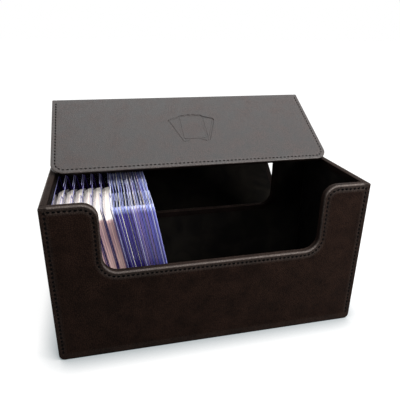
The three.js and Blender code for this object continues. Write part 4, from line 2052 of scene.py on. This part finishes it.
@dataclass
class ToploaderRow:
    """Six thick and fourteen thin toploaders leaning on the left wall, each with its card."""

    finishes: Finishes
    lean_deg: float = 10.3
    thick: Sleeve = Sleeve(thickness=5.95, wall=0.5, recess=0.35, mirrored=True)
    thin: Sleeve = Sleeve(thickness=1.63, wall=0.56, recess=0.22)
    gaping: Sleeve = Sleeve(thickness=1.63, wall=0.33, recess=0.22)
    gaping_places: tuple[int, ...] = (2, 3, 5, 6, 8, 10, 11)
    thick_count: int = 6
    thick_card: TradingCard = TradingCard(thickness=4.8)
    thin_card: TradingCard = TradingCard(thickness=0.36)
    clearance: float = 0.3
    tints: tuple[tuple[EdgeTint, EdgeTint], ...] = (
        (EdgeTint.PALE_LINE, EdgeTint.INDIGO),
        (EdgeTint.INDIGO, EdgeTint.PALE_LINE),
        (EdgeTint.INDIGO, EdgeTint.WHITE_LINE),
        (EdgeTint.INDIGO, EdgeTint.INDIGO),
        (EdgeTint.INDIGO, EdgeTint.WHITE_LINE),
        (EdgeTint.INDIGO, EdgeTint.VIOLET),
        (EdgeTint.VIOLET, EdgeTint.PALE_LINE),
        (EdgeTint.VIOLET, EdgeTint.ROSE_LINE),
        (EdgeTint.VIOLET, EdgeTint.VIOLET),
        (EdgeTint.PERIWINKLE, EdgeTint.PALE_LINE),
        (EdgeTint.VIOLET, EdgeTint.ROSE_LINE),
        (EdgeTint.PERIWINKLE, EdgeTint.PERIWINKLE),
        (EdgeTint.PERIWINKLE, EdgeTint.PALE_LINE),
        (EdgeTint.PERIWINKLE, EdgeTint.SKY_LINE),
    )

    def place(self, node: str, sleeve: Sleeve) -> Matrix:
        """Reads from its CAD node where a sleeve stands.

        Args:
            node: The node's name.
            sleeve: The sleeve's sizes.

        Returns:
            The sleeve's place, in metres.
        """
        low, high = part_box(node)
        lean = math.radians(self.lean_deg)
        foot = high.x - sleeve.thickness * MM * math.cos(lean)
        spot = Vector((foot, (low.y + high.y) / 2, low.z))
        return Matrix.Translation(spot) @ Matrix.Rotation(-lean, 4, "Y")

    def stand(
        self,
        name: str,
        mesh: bpy.types.Mesh,
        materials: Sequence[bpy.types.Material],
        where: Matrix,
    ) -> bpy.types.Object:
        """Puts a copy of a mesh in the row.

        Args:
            name: The piece's name.
            mesh: The mesh that is copied.
            materials: Its finishes.
            where: Its place.

        Returns:
            The piece, which rides with the row.
        """
        made = add_object(name, mesh.copy())
        for material in materials:
            made.data.materials.append(material)
        made.matrix_world = where
        log.info("%s stands at X %.1f mm", name, where.translation.x / MM)
        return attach(made, "toploader_row")

    def sleeve_finishes(self, kind: SleeveKind, k: int) -> list[bpy.types.Material]:
        """Picks a sleeve's finishes. The edges of a thin one each have their own tint.

        Args:
            kind: The kind of sleeve.
            k: Its number in the row of its kind, from 0.

        Returns:
            The finishes in the order of SleevePart.
        """
        edges = self.finishes.edges
        if kind == SleeveKind.THICK:
            seam = edges[EdgeTint.SEAM]
            return [self.finishes.sheet, self.finishes.sheet, seam, seam, self.finishes.pocket_side]
        left, right = self.tints[k]
        deep = (EdgeTint.INDIGO, EdgeTint.VIOLET, EdgeTint.PERIWINKLE)
        rail = left if left in deep else right
        chosen = [edges[tint] for tint in (rail, left, right)]
        return [self.finishes.thin_sheet, *chosen, self.finishes.pocket_side]

    def build(self) -> list[bpy.types.Object]:
        """Builds every sleeve and card.

        Returns:
            The pieces.
        """
        made = []
        faces = [self.finishes.card_face, self.finishes.card_edge]
        kinds = (
            (SleeveKind.THICK, self.thick, self.thick_card, self.thick_count),
            (SleeveKind.THIN, self.thin, self.thin_card, len(self.tints)),
        )
        for kind, plain, card, count in kinds:
            label = kind.value
            blanks = {plain: plain.mesh()}
            if kind == SleeveKind.THIN:
                blanks[self.gaping] = self.gaping.mesh()
            blank_card = card.draft().piece(f"{label}_trading_card", [])
            card_mesh = blank_card.data
            bpy.data.objects.remove(blank_card)
            for k in range(count):
                node = f"{label}_toploader_{k + 1}"
                gapes = kind == SleeveKind.THIN and k + 1 in self.gaping_places
                sleeve = self.gaping if gapes else plain
                where = self.place(node, sleeve)
                name = f"{label}_sleeve_{k + 1}"
                shell = self.stand(name, blanks[sleeve], self.sleeve_finishes(kind, k), where)
                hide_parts(node)
                side = (sleeve.thickness - card.thickness) / 2
                inside = Matrix.Translation(Vector((side, 0, sleeve.seal + self.clearance)) * MM)
                # Only the last thin card shows its face; the others take the near-black card,
                # painted shade for the dark gaps between sheets
                dark = kind == SleeveKind.THIN and k < count - 1
                look = [self.finishes.dark_card] * 2 if dark else faces
                kept = self.stand(f"{label}_trading_card_{k + 1}", card_mesh, look, where @ inside)
                if kind == SleeveKind.THICK:
                    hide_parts(f"thick_card_{k + 1}")
                made += [shell, kept]
            for blank in (*blanks.values(), card_mesh):
                bpy.data.meshes.remove(blank)
        return made


@dataclass
class PlainParts:
    """Boards, linings, magnets, plates and the base's sheet: solids that only get their finish."""

    finishes: Finishes

    def dress(self) -> None:
        """Gives every CAD node its material, also those that a dressed piece stands for."""
        kinds = {
            "_board": self.finishes.board,
            "_lining": self.finishes.suede,
            "_magnet": self.finishes.magnet,
            "_keeper_plate": self.finishes.keeper,
        }
        for name, node in frame["nodes"].items():
            chosen = [material for ending, material in kinds.items() if name.endswith(ending)]
            node.data.materials.clear()
            node.data.materials.append(chosen[0] if chosen else self.finishes.tray)


@dataclass(frozen=True)
class Softbox:
    """A square lamp: where it hangs and what it faces, in metres, its width and its radiance."""

    name: str
    place: tuple[float, float, float]
    size: float
    radiance: float
    aim: tuple[float, float, float] = (0.0, 0.02, 0.1)

    def hang(self) -> None:
        """Adds the lamp, unseen by the camera."""
        data = bpy.data.lights.new(self.name, "AREA")
        data.size = self.size
        data.energy = self.radiance * math.pi * self.size**2
        lamp = add_object(self.name, data)
        lamp.location = self.place
        lamp.rotation_mode = "QUATERNION"
        way = Vector(self.aim) - Vector(self.place)
        lamp.rotation_quaternion = way.to_track_quat("-Z", "Y")
        lamp.visible_camera = False


@dataclass
class Studio:
    """Pale floor, soft overhead light and the camera of the photograph."""

    image_px: float = 400.0
    focal_px: float = 418.2
    sensor_mm: float = 36.0
    camera_mm: tuple[float, float, float] = (-69.74, -291.76, 216.16)
    yaw_deg: float = -13.2338
    pitch_deg: float = -22.3095
    roll_deg: float = -0.6398
    nearest: float = 0.01
    floor_half: float = 8.0
    surroundings: str = "#ffffff"
    even_light: float = 0.16
    lamps: tuple[Softbox, ...] = (
        Softbox("overhead_softbox", (0.12, 0.3, 1.15), 1.5, 1.8),
        Softbox("front_key", (0.15, -0.58, 1.3), 0.3, 37.0),
        Softbox("right_fill", (0.3, -0.24, 0.27), 0.16, 22.0, (0.105, -0.05, 0.09)),
    )

    def camera(self) -> None:
        """Sets up the camera where the photograph was taken."""
        data = bpy.data.cameras.new("photo_camera")
        data.sensor_width = self.sensor_mm
        data.lens = self.focal_px / self.image_px * self.sensor_mm
        data.clip_start = self.nearest
        camera = add_object("photo_camera", data)
        turn = Matrix.Rotation(math.radians(self.yaw_deg), 4, "Z")
        turn @= Matrix.Rotation(math.radians(self.pitch_deg), 4, "X")
        turn @= Matrix.Rotation(math.radians(self.roll_deg), 4, "Y")
        turn @= Matrix.Rotation(math.pi / 2, 4, "X")
        camera.matrix_world = Matrix.Translation(Vector(self.camera_mm) * MM) @ turn
        bpy.context.scene.camera = camera

    def world(self) -> None:
        """Makes the surroundings white to look at and to mirror, and otherwise a weak light."""
        world = bpy.data.worlds.new("studio")
        bpy.context.scene.world = world
        world.use_nodes = True
        tree = world.node_tree
        tree.nodes.clear()
        strength = add_node(
            tree, "MapRange", {"Value": seen_directly(tree), "To Min": self.even_light}
        )
        light = add_node(
            tree, "Background", {"Color": linear(self.surroundings), "Strength": strength}
        )
        add_node(tree, "OutputWorld", {"Surface": light})

    def floor(self) -> None:
        """Adds the floor."""
        s = self.floor_half
        mesh = bpy.data.meshes.new("floor")
        mesh.from_pydata([(-s, -s, 0), (s, -s, 0), (s, s, 0), (-s, s, 0)], [], [(0, 1, 2, 3)])
        mesh.materials.append(SeamlessPaper().material())
        add_object("floor", mesh)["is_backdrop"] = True

    def build(self) -> None:
        """Sets the stage round the box."""
        bpy.context.scene.view_settings.view_transform = "Standard"
        self.camera()
        self.world()
        self.floor()
        for lamp in self.lamps:
            lamp.hang()


def write_sizes() -> None:
    """Gathers the CAD box and the visual model's box, in metres, and keeps neither."""
    boxes = {"cad": CAD_BOX, "visual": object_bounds()}
    {name: [list(corner) for corner in box] for name, box in boxes.items()}


def main() -> None:
    """Builds the stage and every sub-assembly, in order."""
    logging.basicConfig(level=logging.INFO, format="%(name)s: %(message)s")
    Studio().build()
    finishes = Finishes()
    PlainParts(finishes).dress()
    assemblies = [
        LowCutWall(finishes, "front"),
        LowCutWall(finishes, "back", turned=True),
        SideWall(finishes, "left", way=-1.0),
        SideWall(finishes, "right"),
        Cover(finishes),
        ToploaderRow(finishes),
    ]
    for assembly in assemblies:
        pieces = assembly.build()
        log.info("%s: %d pieces", type(assembly).__name__, len(pieces))
    write_sizes()


if __name__ == "__main__":
    main()
